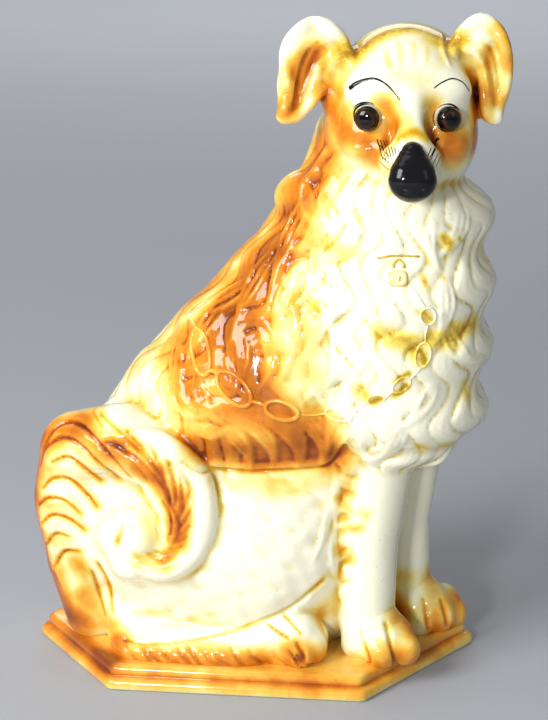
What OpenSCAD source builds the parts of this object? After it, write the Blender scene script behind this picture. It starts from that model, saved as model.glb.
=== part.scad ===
// Seated mantelpiece dog in slip-cast earthenware, on an elongated six-sided plinth.
// The hind part lies along X, the chest turns part of the way to -Y and the head looks along -Y.
// The figure stands on Z = 0 and its origin is the middle of its footprint box.
// Every casting is listed as balls: rows of [centre, radii], in millimetres above the plinth's deck.

/* [Figure] */
// Height of the whole figure, from the foot to the top of the higher ear
figure_height = 334; // [260:1:400]
// Wall that the slip leaves in the moulds
wall = 4; // [3:0.5:5]
// Facets round the largest balls of the modelling
ball_facets = 24; // [24:2:28]

/* [Plinth] */
// Length of the plinth, from point to point
plinth_length = 232; // [226:1:240]
// Depth of the plinth, from front edge to back edge
plinth_depth = 158; // [154:1:164]
// Height of the plinth's deck above the table
plinth_height = 12; // [11:0.5:15]
// Straight length of the front and back edges
plinth_straight = 129; // [120:1:136]
// Width of the foot rim round the shallow recess underneath
foot_rim = 8; // [6:1:12]
// Diameter of the vent hole that lets the air out in the kiln
vent_d = 12; // [8:1:16]

/* [Glass eyes] */
// Diameter of each glass eye
eye_d = 12; // [10:0.5:13]
// How far the dome of the glass stands out of its rim
eye_dome = 3.5; // [2:0.5:4.5]

/* [Chain and padlock] */
// Thickness of the clay wire in the chain
chain_wire = 3; // [2.5:0.1:3.1]
// Width of the padlock on the chest
padlock_w = 10; // [8:1:13]

/* [Hidden] */

nominal_height = 334;
size = figure_height / nominal_height;
// Moves the plinth's centre to where the footprint box of the whole figure is centred
recentre = [-4.65, 1.1, 0];
big = 400;
eps = 0.01;
round_facets = 72;
$fn = round_facets;

// Radii above which a ball is large, or is not small, and how many facets the rest do without
large_ball = 26;
small_ball = 12;
medium_saving = 6;
small_saving = 10;

// Plinth: band heights and how far each band steps in
groove_h = 1;
upper_band_h = 3.5;
groove_in = 3;
upper_in = 2.5;
floor_recess = 2;
plinth_wall = 4;
vent_at = [-30, 0];
// The plinth is a little out of true: where its points lie in depth, and how far its front corners stray
left_point_y = -13;
right_point_y = -3;
front_shift = 3;
front_right_out = 2;
deck_opening = [70, 44];
deck_opening_at = [-22, 0];

// Trunk, from the seat over the back to the nape
seat_balls = [[[-36, 0, 16], [70, 54, 30]], [[14, -2, 24], [50, 46, 40]]];
back_balls = [[[-50, 0, 56], [60, 52, 58]], [[-18, -4, 112], [53, 52, 52]],
              [[30, -8, 170], [47, 48, 50]], [[52, -8, 222], [40, 40, 34]], [[63, -8, 256], [33, 34, 30]]];
belly_balls = [[[14, -2, 24], [50, 46, 40]], [[34, -12, 110], [46, 46, 50]]];
shoulder_balls = [[[6, -26, 128], [42, 36, 26]], [[36, -22, 150], [40, 40, 46]]];

// Haunches
haunch_balls = [[[-34, -30, 54], [48, 36, 46]], [[2, -34, 54], [53, 36, 52]]];
// Fringe of fur round the foot of each haunch
skirt_balls = [[[-46, -46, 2], [26, 24, 12]], [[-10, -50, 3], [34, 22, 13]]];

// How much closer to the middle the far haunch and paw sit
far_inset = 8;

// Ruff of wavy locks from the jaw to the top of the legs
ruff_balls = [[[72, -18, 226], [45, 38, 28]], [[72, -24, 180], [47, 45, 40]], [[70, -25, 130], [47, 43, 34]],
              [[70, -25, 110], [38, 36, 12]]];

// Head, in its own frame: it faces -Y before it turns about Z
head_at = [75, -16, 276];
head_turn = 5.5;
skull_balls = [[[0, 4, 8], [34, 36, 32.5]], [[0, 2, -12], [33, 34, 30]]];
cheek_balls = [[[-18, -8, -12], [19, 22, 22]], [[16, -10, -12], [18, 22, 22]]];
muzzle_balls = [[[0, -14, -14], [24, 22, 22]], [[0, -38, -18], [15, 17, 15]]];
nose_balls = [[[0, -54, -13], [6.5, 7, 6.5]], [[0, -56, -24], [11.2, 9.5, 10.6]]];
// Each eye's distance from between the eyes, which are set a little to the dog's right
eye_at = [19, -32, 0];
between_eyes = -1.1;
eye_turn = 16;
eye_rim = 1;
plaster_depth = 6;

// Ears, from root over the fold to the tip, in the head's frame
ear_right_balls = [[[-28, -2, 20], [10, 8, 16]], [[-40, -2, 33], [12, 10, 11]], [[-50, -4, 25], [11, 10, 16]],
                   [[-52, -7, 11], [11, 7, 13]], [[-56, -10, 0], [7, 5, 7]]];
ear_left_balls = [[[27, -2, 22], [9, 8, 16]], [[35, -2, 37], [11, 10, 10]], [[42, -3, 26], [8, 10, 15]],
                  [[42, -5, 10], [8, 8, 12]], [[41, -8, 0], [6, 6, 7]]];

// Forelegs and paws
foreleg_right_balls = [[[64, -38, 104], [19, 18, 24]], [[61, -42, 60], [15, 15, 24]],
                       [[61, -44, 18], [14, 14, 20]], [[65, -47, 9], [17, 14, 12]]];
foreleg_left_balls = [[[80, -6, 100], [17, 18, 22]], [[77, -6, 60], [14, 14, 24]],
                      [[79, -6, 18], [13, 14, 20]], [[90, -9, 9], [16, 14, 12]]];
toe_right_balls = [[[54, -53, 6], [7.5, 8.5, 9]], [[66, -58, 7], [8, 8.5, 9.5]], [[78, -54, 6], [8, 8.5, 9]]];
toe_left_balls = [[[86, -19, 6], [7.5, 8, 9]], [[97, -14, 7], [8, 8, 9.5]], [[105, -5, 6], [7.5, 8, 8.5]]];
hind_paw_balls = [[[-8, -54, 4], [14, 12, 9]], [[12, -57, 9], [16, 12, 12]], [[30, -59, 8], [12, 13, 10]]];

// Tail, from its root low behind the rump, up and over, and in along the spiral
tail_balls = [[[-84, -31, 12], [14, 14, 16]], [[-91, -32, 42], [15.5, 15, 20]],
              [[-94, -34, 76], [16.5, 16, 22]], [[-87, -38, 102], [20, 18, 20]],
              [[-64, -45, 111], [19, 18, 18]], [[-41, -52, 102], [16, 15, 16]],
              [[-29, -57, 77], [14, 13, 16]], [[-37, -58, 54], [14, 12, 13]], [[-56, -57, 50], [13, 12, 11]],
              [[-64, -56, 62], [10, 12, 11]], [[-50, -56, 66], [14, 12, 14]]];
// Fills the tail between its outer sweep and its curl
tail_disc = [[-74, -38, 74], [36, 18, 42]];

// Relief chain: rows of [centre, turn about Z, lean back, roll, half length, half width] for its rings,
// from the chest round the right side, and the ends of the bars between them
chain_rings = [[[87, -66.5, 182], 19, 0, 60, 4.5, 4], [[86, -66.5, 164], 19, 0, 105, 7.5, 4],
               [[76, -68, 147.5], 6, 0, 45, 4.5, 3.2], [[65, -68, 143], -6, 0, 20, 4.5, 3.2],
               [[48, -63, 134.5], -30, 0, 5, 6.5, 3.5], [[24, -61.5, 132.5], 4, -5, -8, 8.5, 4.5],
               [[-6, -55.5, 145.5], -25, 25, -35, 9, 7.5], [[-25, -40.5, 163], -34, 26, -65, 11.5, 6]];
chain_bars = [[[77, -66, 196], [84, -67, 187]], [[87, -67, 177], [87, -67, 172]],
              [[83, -67.5, 157], [79, -68, 151]], [[60, -67.5, 141], [54, -66, 137.5]],
              [[41, -63, 133], [33, -62.5, 132]], [[15, -61.5, 134.5], [1, -59, 141]],
              [[-14, -52, 151], [-20, -47, 155]], [[-30, -31, 171], [-36, -12, 173]]];

// Relief padlock on the chest, and the scrap of collar that it hangs from
padlock_at = [75, -63.5, 203];
padlock_turn = 5;
padlock_lean = 17;
padlock_t = 3;
padlock_taper = 0.8;
shackle_r = 3.2;
collar_half = 8;
ring_facets = 16;
wire_facets = 8;

// --- modelling tools ---

// Small balls need fewer facets than large ones
function facets_for(radius) =
    radius > large_ball ? ball_facets
    : radius > small_ball ? ball_facets - medium_saving
    : ball_facets - small_saving;

module ball(row, grow = 0)
    translate(row[0]) scale([for (r = row[1]) r + grow]) sphere(1, $fn = facets_for(max(row[1])));

module run_of(balls, grow = 0)
    for (i = [0:len(balls) - 2])
        hull() {
            ball(balls[i], grow);
            ball(balls[i + 1], grow);
        }

// Everything below the deck of the plinth
module below_deck() translate([-big / 2, -big / 2, -big]) cube(big);

// From the deck's frame to the finished figure
module on_plinth() scale(size) translate([0, 0, plinth_height]) translate(recentre) children();

// The far side is the near side mirrored, and set in a little because the dog leans away from it
module far_side() translate([0, -far_inset, 0]) mirror([0, 1, 0]) children();

module head_frame() translate(head_at) rotate([0, 0, head_turn]) children();

// --- outer forms ---

module trunk_form(grow = 0) {
    run_of(seat_balls, grow);
    run_of(back_balls, grow);
    run_of(belly_balls, grow);
    run_of(shoulder_balls, grow);
}

module haunch_form(grow = 0) {
    run_of(haunch_balls, grow);
    run_of(skirt_balls, grow);
}

module ruff_form(grow = 0) run_of(ruff_balls, grow);

module head_form(grow = 0) head_frame() {
    run_of(skull_balls, grow);
    run_of(cheek_balls, grow);
    run_of(muzzle_balls, grow);
}

module foreleg_form(balls, toes, grow = 0) {
    run_of(balls, grow);
    run_of(toes, grow);
}

module tail_form(grow = 0) {
    run_of(tail_balls, grow);
    ball(tail_disc, grow);
}

// --- plinth ---

module plinth_outline(inset = 0) {
    half = plinth_length / 2;
    flat = plinth_straight / 2;
    deep = plinth_depth / 2;
    offset(delta = -inset)
        polygon([[-half, left_point_y], [-flat - front_shift, -deep], [flat - front_shift, -deep - front_right_out],
                 [half, right_point_y], [flat, deep], [-flat, deep]]);
}

module plinth() color("darkorange") scale(size) translate(recentre) {
    lower_band_h = plinth_height - groove_h - upper_band_h;
    cavity_bottom = floor_recess + plinth_wall;
    difference() {
        union() {
            linear_extrude(lower_band_h) plinth_outline();
            linear_extrude(plinth_height) plinth_outline(groove_in);
            translate([0, 0, plinth_height - upper_band_h])
                linear_extrude(upper_band_h) plinth_outline(upper_in);
        }
        translate([0, 0, -eps]) linear_extrude(floor_recess + eps) plinth_outline(foot_rim);
        translate([deck_opening_at[0], deck_opening_at[1], cavity_bottom])
            linear_extrude(plinth_height)
                scale([1, deck_opening[1] / deck_opening[0]]) circle(deck_opening[0]);
        translate([vent_at[0], vent_at[1], -eps]) cylinder(h = plinth_height, d = vent_d);
    }
}

// --- castings ---

module torso() color("burlywood") on_plinth() difference() {
    trunk_form();
    trunk_form(-wall);
    below_deck();
}

module haunch_shell() difference() {
    haunch_form();
    haunch_form(-wall);
}

module haunch_right() color("ivory") on_plinth() difference() {
    haunch_shell();
    trunk_form();
    below_deck();
}

module haunch_left() color("wheat") on_plinth() difference() {
    far_side() haunch_shell();
    trunk_form();
    below_deck();
}

module chest_ruff() color("ivory") on_plinth() difference() {
    ruff_form();
    ruff_form(-wall);
    trunk_form();
    head_form();
}

module eye_place(side)
    head_frame() translate([between_eyes + side * eye_at[0], eye_at[1], eye_at[2]])
        rotate([90, 0, side * eye_turn]) children();

module eye_socket(side) eye_place(side) translate([0, 0, -eye_d]) cylinder(h = 2 * eye_d, d = eye_d);

module head() color("ivory") on_plinth() difference() {
    head_form();
    head_form(-wall);
    trunk_form();
    for (side = [-1, 1]) eye_socket(side);
}

module ear(balls) difference() {
    head_frame() run_of(balls);
    head_form();
}

module ear_right() color("orange") on_plinth() ear(ear_right_balls);
module ear_left() color("orange") on_plinth() ear(ear_left_balls);

module nose() color("black") on_plinth() difference() {
    head_frame() run_of(nose_balls);
    head_form();
}

module foreleg(balls, toes) difference() {
    foreleg_form(balls, toes);
    run_of(balls, -wall);
    trunk_form();
    ruff_form();
    below_deck();
}

module foreleg_right() color("ivory") on_plinth() foreleg(foreleg_right_balls, toe_right_balls);
module foreleg_left() color("ivory") on_plinth() difference() {
    foreleg(foreleg_left_balls, toe_left_balls);
    foreleg_form(foreleg_right_balls, toe_right_balls);
}

module hind_paw_right() color("orange") on_plinth() difference() {
    run_of(hind_paw_balls);
    haunch_form();
    trunk_form();
    foreleg_form(foreleg_right_balls, toe_right_balls);
    below_deck();
}

module hind_paw_left() color("orange") on_plinth() difference() {
    far_side() run_of(hind_paw_balls);
    far_side() haunch_form();
    trunk_form();
    foreleg_form(foreleg_left_balls, toe_left_balls);
    below_deck();
}

module tail() color("chocolate") on_plinth() difference() {
    tail_form();
    tail_form(-wall);
    trunk_form();
    haunch_form();
    below_deck();
}

// --- eyes, chain and padlock ---

// A blown glass dome: the cap of a sphere on a short straight rim
module eye_glass(side) eye_place(side) {
    cap_radius = (pow(eye_d / 2, 2) + pow(eye_dome, 2)) / (2 * eye_dome);
    intersection() {
        cylinder(h = eye_rim + eye_dome, d = eye_d);
        translate([0, 0, eye_rim + eye_dome - cap_radius]) sphere(cap_radius);
    }
}

module eye_right() color("saddlebrown") on_plinth() eye_glass(-1);
module eye_left() color("saddlebrown") on_plinth() eye_glass(1);

module eye_plaster(side)
    eye_place(side) translate([0, 0, -plaster_depth]) cylinder(h = plaster_depth, d = eye_d);

module eye_plaster_right() color("white") on_plinth() eye_plaster(-1);
module eye_plaster_left() color("white") on_plinth() eye_plaster(1);

// Turns a flat relief, drawn in X and Y, to lie on the clay and face out of it
module on_surface(at, turn, lean, roll = 0)
    translate(at) rotate([0, 0, turn]) rotate([90 - lean, 0, 0]) rotate([0, 0, roll]) children();

module bar(from, to)
    hull() for (end = [from, to]) translate(end) sphere(d = chain_wire, $fn = wire_facets);

module ring(row)
    on_surface(row[0], row[1], row[2], row[3]) scale([row[4] / row[5], 1, 1])
        rotate_extrude($fn = ring_facets) translate([row[5] - chain_wire / 2, 0])
            circle(d = chain_wire, $fn = wire_facets);

// What the relief is pressed on to
module under_relief() {
    trunk_form();
    ruff_form();
}

module chain() color("goldenrod") on_plinth() difference() {
    union() {
        for (row = chain_rings) ring(row);
        for (ends = chain_bars) bar(ends[0], ends[1]);
    }
    under_relief();
}

module padlock() color("gold") on_plinth() difference() {
    on_surface(padlock_at, padlock_turn, padlock_lean) {
        shoulder_y = padlock_w / 4;
        translate([0, 0, -padlock_t / 2]) linear_extrude(padlock_t) hull() {
            translate([0, -shoulder_y]) circle(d = padlock_w * padlock_taper, $fn = ring_facets);
            square([padlock_w, 2 * shoulder_y], center = true);
        }
        translate([0, shoulder_y, 0]) rotate_extrude($fn = ring_facets)
            translate([shackle_r, 0]) circle(d = chain_wire, $fn = wire_facets);
        collar_y = shoulder_y + shackle_r + chain_wire / 2;
        bar([-collar_half, collar_y, 0], [collar_half, collar_y, 0]);
    }
    under_relief();
}

plinth();
torso();
haunch_right();
haunch_left();
chest_ruff();
head();
ear_right();
ear_left();
nose();
foreleg_right();
foreleg_left();
hind_paw_right();
hind_paw_left();
tail();
chain();
padlock();
eye_right();
eye_left();
eye_plaster_right();
eye_plaster_left();
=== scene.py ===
import math

import bpy
import numpy as np
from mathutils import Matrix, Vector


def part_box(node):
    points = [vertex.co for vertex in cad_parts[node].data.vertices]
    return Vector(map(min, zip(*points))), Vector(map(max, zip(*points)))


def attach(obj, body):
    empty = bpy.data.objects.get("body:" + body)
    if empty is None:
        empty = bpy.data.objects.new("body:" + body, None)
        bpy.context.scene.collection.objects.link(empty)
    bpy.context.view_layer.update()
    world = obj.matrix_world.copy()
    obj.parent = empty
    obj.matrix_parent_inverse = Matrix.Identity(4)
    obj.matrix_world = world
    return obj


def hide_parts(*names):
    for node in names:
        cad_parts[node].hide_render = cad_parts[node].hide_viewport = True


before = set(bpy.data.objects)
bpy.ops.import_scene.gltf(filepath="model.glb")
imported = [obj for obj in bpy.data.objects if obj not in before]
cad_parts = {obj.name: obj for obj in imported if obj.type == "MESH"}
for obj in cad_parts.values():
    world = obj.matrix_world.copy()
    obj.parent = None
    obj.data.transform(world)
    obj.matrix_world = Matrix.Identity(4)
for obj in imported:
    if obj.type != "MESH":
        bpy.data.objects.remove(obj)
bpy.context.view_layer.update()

import openvdb
from mathutils import Vector

# The clay is modelled in millimetres above the plinth's deck, as the CAD castings are.
MM = 0.001
PLINTH_LOW, PLINTH_HIGH = (np.array(corner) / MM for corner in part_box("plinth"))
# The plinth is a little out of true: how far its front right corner comes forward
FRONT_RIGHT_OUT = 2
PLINTH_SIZE = PLINTH_HIGH - PLINTH_LOW - (0, FRONT_RIGHT_OUT, 0)
DECK = np.array([(PLINTH_LOW[0] + PLINTH_HIGH[0]) / 2, PLINTH_HIGH[1] - PLINTH_SIZE[1] / 2, PLINTH_HIGH[2]])
# The clay's grain, and a finer one for the nose
GRAIN = 1.05
NOSE_GRAIN = 0.5
# Distances from the surface are held only up to this
FAR = 12.0
# How far in the inner skin lies
WALL = 3.0
# The clay is cut off level here, a little inside the plinth
FLOOR_CUT = -3.0
# Lines are landed on the clay from this far off
REACH = 90.0
# Keeps a division from being by nothing
TINY = 1e-9

# The head's own frame: where it stands, how it is turned, and the way into it from the front
HEAD_AT = np.array([75.0, -16.0, 276.0])
HEAD_TURN = math.radians(5.5)
HEAD_INWARD = np.array([-math.sin(HEAD_TURN), math.cos(HEAD_TURN), 0.0])
# The ways on to the body from its near side and from its far side
NEAR_INWARD = (0, 1, 0)
FAR_INWARD = (0, -1, 0)
# How much further in the far side's castings are, because the dog leans away
FAR_INSET = 8

# Castings: rows of balls as (centre, radii). Those from SKULL on are in the head's frame.
SEAT = [((-36, 0, 16), (70, 54, 30)), ((14, -2, 24), (50, 46, 40))]
BACK = [((-50, 0, 56), (60, 52, 58)), ((-18, -4, 112), (53, 52, 52)), ((30, -8, 170), (47, 48, 50)),
        ((55, -8, 222), (39, 40, 34)), ((63, -8, 256), (33, 34, 30))]
MANE = [((30, -18, 231), (19, 16, 14)), ((44, -20, 236), (16, 16, 16))]
BELLY = [((14, -2, 24), (50, 46, 40)), ((34, -12, 110), (46, 46, 50))]
SHOULDER = [((6, -26, 128), (42, 36, 26)), ((36, -22, 150), (40, 40, 46))]
HAUNCH = [((-34, -30, 54), (48, 36, 46)), ((2, -34, 54), (53, 36, 52))]
SKIRT = [((-46, -46, 2), (26, 24, 12)), ((-10, -50, 3), (34, 22, 13))]
RUFF = [((72, -18, 226), (45, 38, 28)), ((72, -24, 180), (47, 45, 40)), ((70, -25, 130), (47, 43, 34)),
        ((70, -25, 110), (38, 36, 12))]
FORELEG_RIGHT = [((64, -38, 104), (19, 18, 24)), ((61, -42, 60), (15, 15, 24)), ((61, -44, 18), (14, 14, 20)),
                 ((66, -48, 10), (18, 15, 13))]
FORELEG_LEFT = [((80, -6, 100), (17, 18, 22)), ((77, -6, 60), (14, 14, 24)), ((79, -6, 18), (13, 14, 20)),
                ((90, -9, 9), (16, 14, 12))]
HIND_PAW = [((-8, -54, 5), (16, 12, 10)), ((12, -57, 10), (16, 12, 13)), ((26, -57, 13), (12, 12, 13))]
TOES_RIGHT = [[((57, -44, 9), (9, 9, 10)), ((56, -48, 5), (8, 7, 8))],
              [((66, -50, 11), (10, 9, 11)), ((69, -59, 6), (9, 8, 9))],
              [((76, -46, 10), (8, 9, 10)), ((81, -54, 6), (8, 8, 8.5))]]
TOES_LEFT = [[((84, -11, 10), (9, 10, 11)), ((87, -18, 6), (8, 8, 9))],
             [((93, -8, 12), (9, 10, 12)), ((97, -13, 7), (8.5, 8, 9.5))],
             [((99, -1, 10), (9, 10, 10)), ((104, -5, 6), (8, 8, 8.5))]]
TOES_HIND = [[((26, -50, 14), (9, 8, 12)), ((34, -52, 9), (8, 8, 10))],
             [((24, -58, 13), (9, 8, 12)), ((34, -60, 8), (8, 7.5, 9.5))],
             [((20, -63, 9), (10, 7, 10)), ((28, -65, 6), (8, 7, 8))]]
TAIL = [((-84, -31, 12), (14, 14, 16)), ((-91, -32, 42), (15.5, 15, 20)), ((-94, -34, 76), (16.5, 16, 22)),
        ((-87, -38, 102), (20, 18, 20)), ((-64, -45, 111), (19, 18, 18)), ((-41, -52, 102), (16, 15, 16)),
        ((-29, -57, 77), (14, 13, 16)), ((-37, -58, 54), (14, 12, 13)), ((-56, -57, 50), (13, 12, 11)),
        ((-64, -56, 62), (10, 12, 11)), ((-50, -56, 66), (14, 12, 14))]
TAIL_DISC = [((-74, -38, 74), (36, 18, 42))]
TAIL_HOLLOW = [((-46, -80, 76), (20, 13, 24))]
TAIL_TIP = [((-52, -62, 64), (10, 9, 10))]
LEG_FEATHER = [((44, -34, 60), (8, 12, 50))]
SKULL = [((0, 4, 8), (34, 36, 32.5)), ((0, 2, -12), (33, 34, 30))]
EAR_ROOT = [((-31, 0, 14), (8, 10, 11)), ((-35, -2, 6), (7, 8, 9))]
CHEEKS = [((-18, -8, -12), (19, 22, 22)), ((16, -10, -12), (18, 22, 22))]
MUZZLE = [((0, -14, -14), (24, 22, 22)), ((0, -38, -18), (15, 17, 15))]
BRIDGE = [((0, -27, 8), (9, 8, 10)), ((0, -42, -8), (8, 8, 8))]
BROWS = [((-18, -21, 12), (12, 8, 8)), ((17, -21, 12), (12, 8, 8))]
NOSE = [((0, -53, -12.8), (5.4, 6.5, 5.4)), ((0, -54, -16), (7.2, 7.4, 7)), ((0, -55, -19), (8.8, 8.4, 8.4)),
        ((0, -55.5, -22), (10.2, 9.2, 9.8)), ((0, -56, -24.8), (11.0, 9.5, 10.8))]
EAR_RIGHT = [((-30, -2, 17), (8, 8, 13)), ((-41, -2, 32), (10.5, 9, 10.5)), ((-50, -4, 25), (11, 9, 16)),
             ((-52, -7, 11), (11, 7, 13)), ((-56, -10, 0), (7, 5, 7))]
EAR_LEFT = [((27, -2, 21), (9, 8, 15)), ((35, -2, 34.5), (11, 9, 10)), ((42, -3, 26), (8, 9, 15)),
            ((42, -5, 10), (8, 7, 12)), ((41, -8, 0), (6, 6, 7))]
EAR_HOLLOW_RIGHT = [((-46, -16, 24), (8, 8, 10)), ((-53, -17, 8), (6, 8, 9))]
EAR_HOLLOW_LEFT = [((41, -15, 27), (5, 7, 8)), ((44, -15, 8), (4, 7, 9))]

# Relief fur. A lock is (x, z, heading, length, bend, strands): it starts at x and z, sets off along the
# heading in degrees from +X towards +Z, and has turned by the bend when it ends.
NECK_LOCKS = [(31, 236, -122, 60, 24, 3), (22, 222, -132, 54, -22, 3), (12, 206, -128, 46, 26, 3),
              (0, 192, -136, 44, -20, 3), (-12, 180, -134, 36, 24, 3), (24, 200, -118, 40, 30, 3)]
SHOULDER_LOCKS = [(6, 176, -40, 36, -95, 3), (16, 178, -52, 36, -80, 3), (-4, 170, -60, 28, -60, 3),
                  (-14, 160, -78, 26, 50, 3), (-24, 146, -86, 26, 60, 3), (14, 148, -20, 34, -85, 3),
                  (12, 130, -12, 40, -115, 4), (26, 132, -16, 36, -110, 4), (2, 126, -18, 30, -95, 3),
                  (-8, 122, -30, 26, -70, 3), (-30, 132, -24, 20, 70, 3), (-24, 122, -24, 20, 66, 3),
                  (-36, 158, -96, 30, 40, 3), (-40, 144, -84, 24, 60, 2), (32, 150, -30, 32, -90, 3)]
RUFF_LOCKS = [(28, 240, -96, 26, 84, 3), (36, 230, -84, 30, -90, 3), (34, 214, -76, 34, -64, 3),
              (42, 204, -70, 36, -60, 3), (34, 190, -66, 34, -70, 3), (44, 178, -66, 34, -64, 3),
              (34, 166, -60, 30, -80, 3), (50, 160, -66, 34, -70, 3), (42, 146, -60, 30, -76, 3),
              (56, 200, -80, 36, 44, 2), (62, 176, -96, 34, -40, 2), (96, 200, -70, 34, -60, 3),
              (98, 176, -76, 30, 60, 3), (92, 150, -100, 30, -56, 3), (64, 138, -80, 30, 60, 3),
              (78, 130, -96, 28, -60, 3), (96, 126, -90, 28, 60, 3), (52, 126, -80, 26, 50, 3),
              (104, 232, -84, 26, -70, 3), (90, 228, -104, 26, 50, 2)]
LEG_LOCKS = [(55, 104, -160, 16, 120, 3), (57, 95, -150, 17, -110, 3), (52, 88, -120, 14, 90, 2),
             (58, 84, -172, 18, 50, 3), (56, 73, -140, 13, -70, 2), (55, 66, -168, 15, 80, 3),
             (52, 58, -130, 12, -40, 2), (55, 49, -158, 14, 66, 3), (51, 40, -124, 11, 40, 2),
             (46, 98, -100, 30, 16, 2), (42, 84, -96, 30, -16, 2), (44, 66, -92, 28, 14, 2)]
CAPE_EDGE = [(-30, 108), (-20, 102), (2, 100), (27, 103), (42, 106), (50, 118)]
HAUNCH_EDGE = [(-62, 8), (-36, 10), (-10, 15), (8, 22), (25, 31), (40, 44)]

# Incised lines on the brush of the tail, as (x, z)
TAIL_CUTS = [[(-103, 106), (-97, 116), (-88, 120), (-78, 118), (-66, 108), (-57, 97)],
             [(-106, 94), (-102, 106), (-92, 113), (-82, 111), (-71, 102), (-64, 94)],
             [(-98, 100), (-90, 104), (-82, 101), (-73, 92)],
             [(-104, 84), (-98, 91), (-89, 92), (-80, 84), (-75, 78)],
             [(-107, 74), (-101, 80), (-92, 80), (-84, 74)], [(-106, 64), (-99, 71), (-90, 70), (-82, 65)],
             [(-104, 52), (-98, 60), (-90, 60)], [(-92, 122), (-80, 126), (-68, 119), (-56, 107), (-48, 98)],
             [(-76, 127), (-62, 120), (-50, 108), (-42, 95)], [(-58, 120), (-46, 108), (-38, 94), (-35, 82)],
             [(-44, 100), (-38, 90), (-36, 78)], [(-40, 86), (-36, 76), (-37, 66)],
             [(-34, 82), (-32, 72), (-36, 62)], [(-100, 40), (-94, 50), (-86, 52)],
             [(-76, 46), (-72, 34), (-70, 18)], [(-80, 40), (-78, 28), (-74, 14)]]

# The nick at the tail's tip, as (x, z)
TAIL_NICK = [(-63, 64), (-62.5, 68), (-61, 72)]

# The tail's spiral: its middle (x, z), and its ridge's distance from there and its radius at each angle,
# counted backwards
TAIL_EYE = (-50, 68)
RIDGE_TURN = (-118, -80, -55, -30, -2, 34, 66, 103, 153, 200)
RIDGE_REACH = (52, 48, 41, 34, 29, 24, 20, 15, 10, 8)
RIDGE_THICK = (1.5, 5, 7, 7.5, 7.5, 7, 6, 4.5, 3, 2.2)

# Creases between the toes, and claw and fur marks on the hind paw, as (x, z)
TOE_CREASES = [[(58, 17), (61, 10), (63, 4), (63, -1)], [(71, 21), (74, 13), (76, 6), (76, -1)],
               [(27, 14), (30, 9), (31, 4)], [(89, 19), (91, 11), (92, 3)], [(98, 18), (101, 11), (102, 4)]]
PAW_MARKS = [[(12, 21), (18, 18), (23, 16)], [(20, 25), (25, 22), (29, 18)]]


# ---------------------------------------------------------------- forms

def mirror(place):
    """A near-side place on the far side."""
    x, y, z = place
    return x, -y - FAR_INSET, z


def far_side(balls):
    return [(mirror(centre), radii) for centre, radii in balls]


class Run:
    """A row of ellipsoids, each blending straight into the next, in the deck's frame or the head's."""

    def __init__(self, balls, in_head=False):
        self.centres = [np.array(c, float) for c, _ in balls]
        self.radii = [np.array(r, float) for _, r in balls]
        self.in_head = in_head

    def box(self):
        low = np.min([c - r for c, r in zip(self.centres, self.radii)], axis=0)
        high = np.max([c + r for c, r in zip(self.centres, self.radii)], axis=0)
        if self.in_head:
            corners = [head_point((x, y, z)) for x in (low[0], high[0]) for y in (low[1], high[1])
                       for z in (low[2], high[2])]
            low, high = np.min(corners, axis=0), np.max(corners, axis=0)
        return low, high

    def distance(self, x, y, z):
        if self.in_head:
            x, y, z = to_head(x, y, z)
        nearest = None
        last = len(self.centres) - 1
        for i in range(max(last, 1)):
            j = min(i + 1, last)
            c0, c1, r0, r1 = self.centres[i], self.centres[j], self.radii[i], self.radii[j]
            mean = (r0 + r1) / 2
            along = (c1 - c0) / mean ** 2
            span = max(float(((c1 - c0) / mean) @ ((c1 - c0) / mean)), TINY)
            t = (x - c0[0]) * along[0] + (y - c0[1]) * along[1] + (z - c0[2]) * along[2]
            t = np.clip(t / span, 0, 1)
            scaled = 0
            gradient = 0
            for axis, p in enumerate((x, y, z)):
                r = r0[axis] + t * (r1[axis] - r0[axis])
                q = (p - c0[axis] - t * (c1[axis] - c0[axis])) / r
                scaled = scaled + q * q
                gradient = gradient + (q / r) ** 2
            scaled = np.sqrt(scaled)
            d = scaled * (scaled - 1) / np.sqrt(gradient + TINY)
            nearest = d if nearest is None else np.minimum(nearest, d)
        return nearest


class Tube:
    """A round wire through points, with a radius at each of them."""

    def __init__(self, points, radii):
        self.points = np.asarray(points, float)
        self.radii = np.broadcast_to(np.asarray(radii, float), len(self.points))

    def box(self):
        r = self.radii.max()
        return self.points.min(axis=0) - r, self.points.max(axis=0) + r

    def distance(self, x, y, z):
        nearest = None
        for a, b, ra, rb in zip(self.points[:-1], self.points[1:], self.radii[:-1], self.radii[1:]):
            v = b - a
            t = (x - a[0]) * v[0] + (y - a[1]) * v[1] + (z - a[2]) * v[2]
            t = np.clip(t / max(v @ v, TINY), 0, 1)
            d = np.sqrt((x - a[0] - t * v[0]) ** 2 + (y - a[1] - t * v[1]) ** 2 + (z - a[2] - t * v[2]) ** 2)
            d = d - ra - t * (rb - ra)
            nearest = d if nearest is None else np.minimum(nearest, d)
        return nearest


def to_head(x, y, z):
    """A place in the head's frame."""
    dx, dy = x - HEAD_AT[0], y - HEAD_AT[1]
    c, s = math.cos(HEAD_TURN), math.sin(HEAD_TURN)
    return c * dx + s * dy, c * dy - s * dx, z - HEAD_AT[2]


def head_point(p):
    """A place that is given in the head's frame."""
    c, s = math.cos(HEAD_TURN), math.sin(HEAD_TURN)
    return HEAD_AT + np.array([c * p[0] - s * p[1], s * p[0] + c * p[1], p[2]])


# ---------------------------------------------------------------- clay

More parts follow.
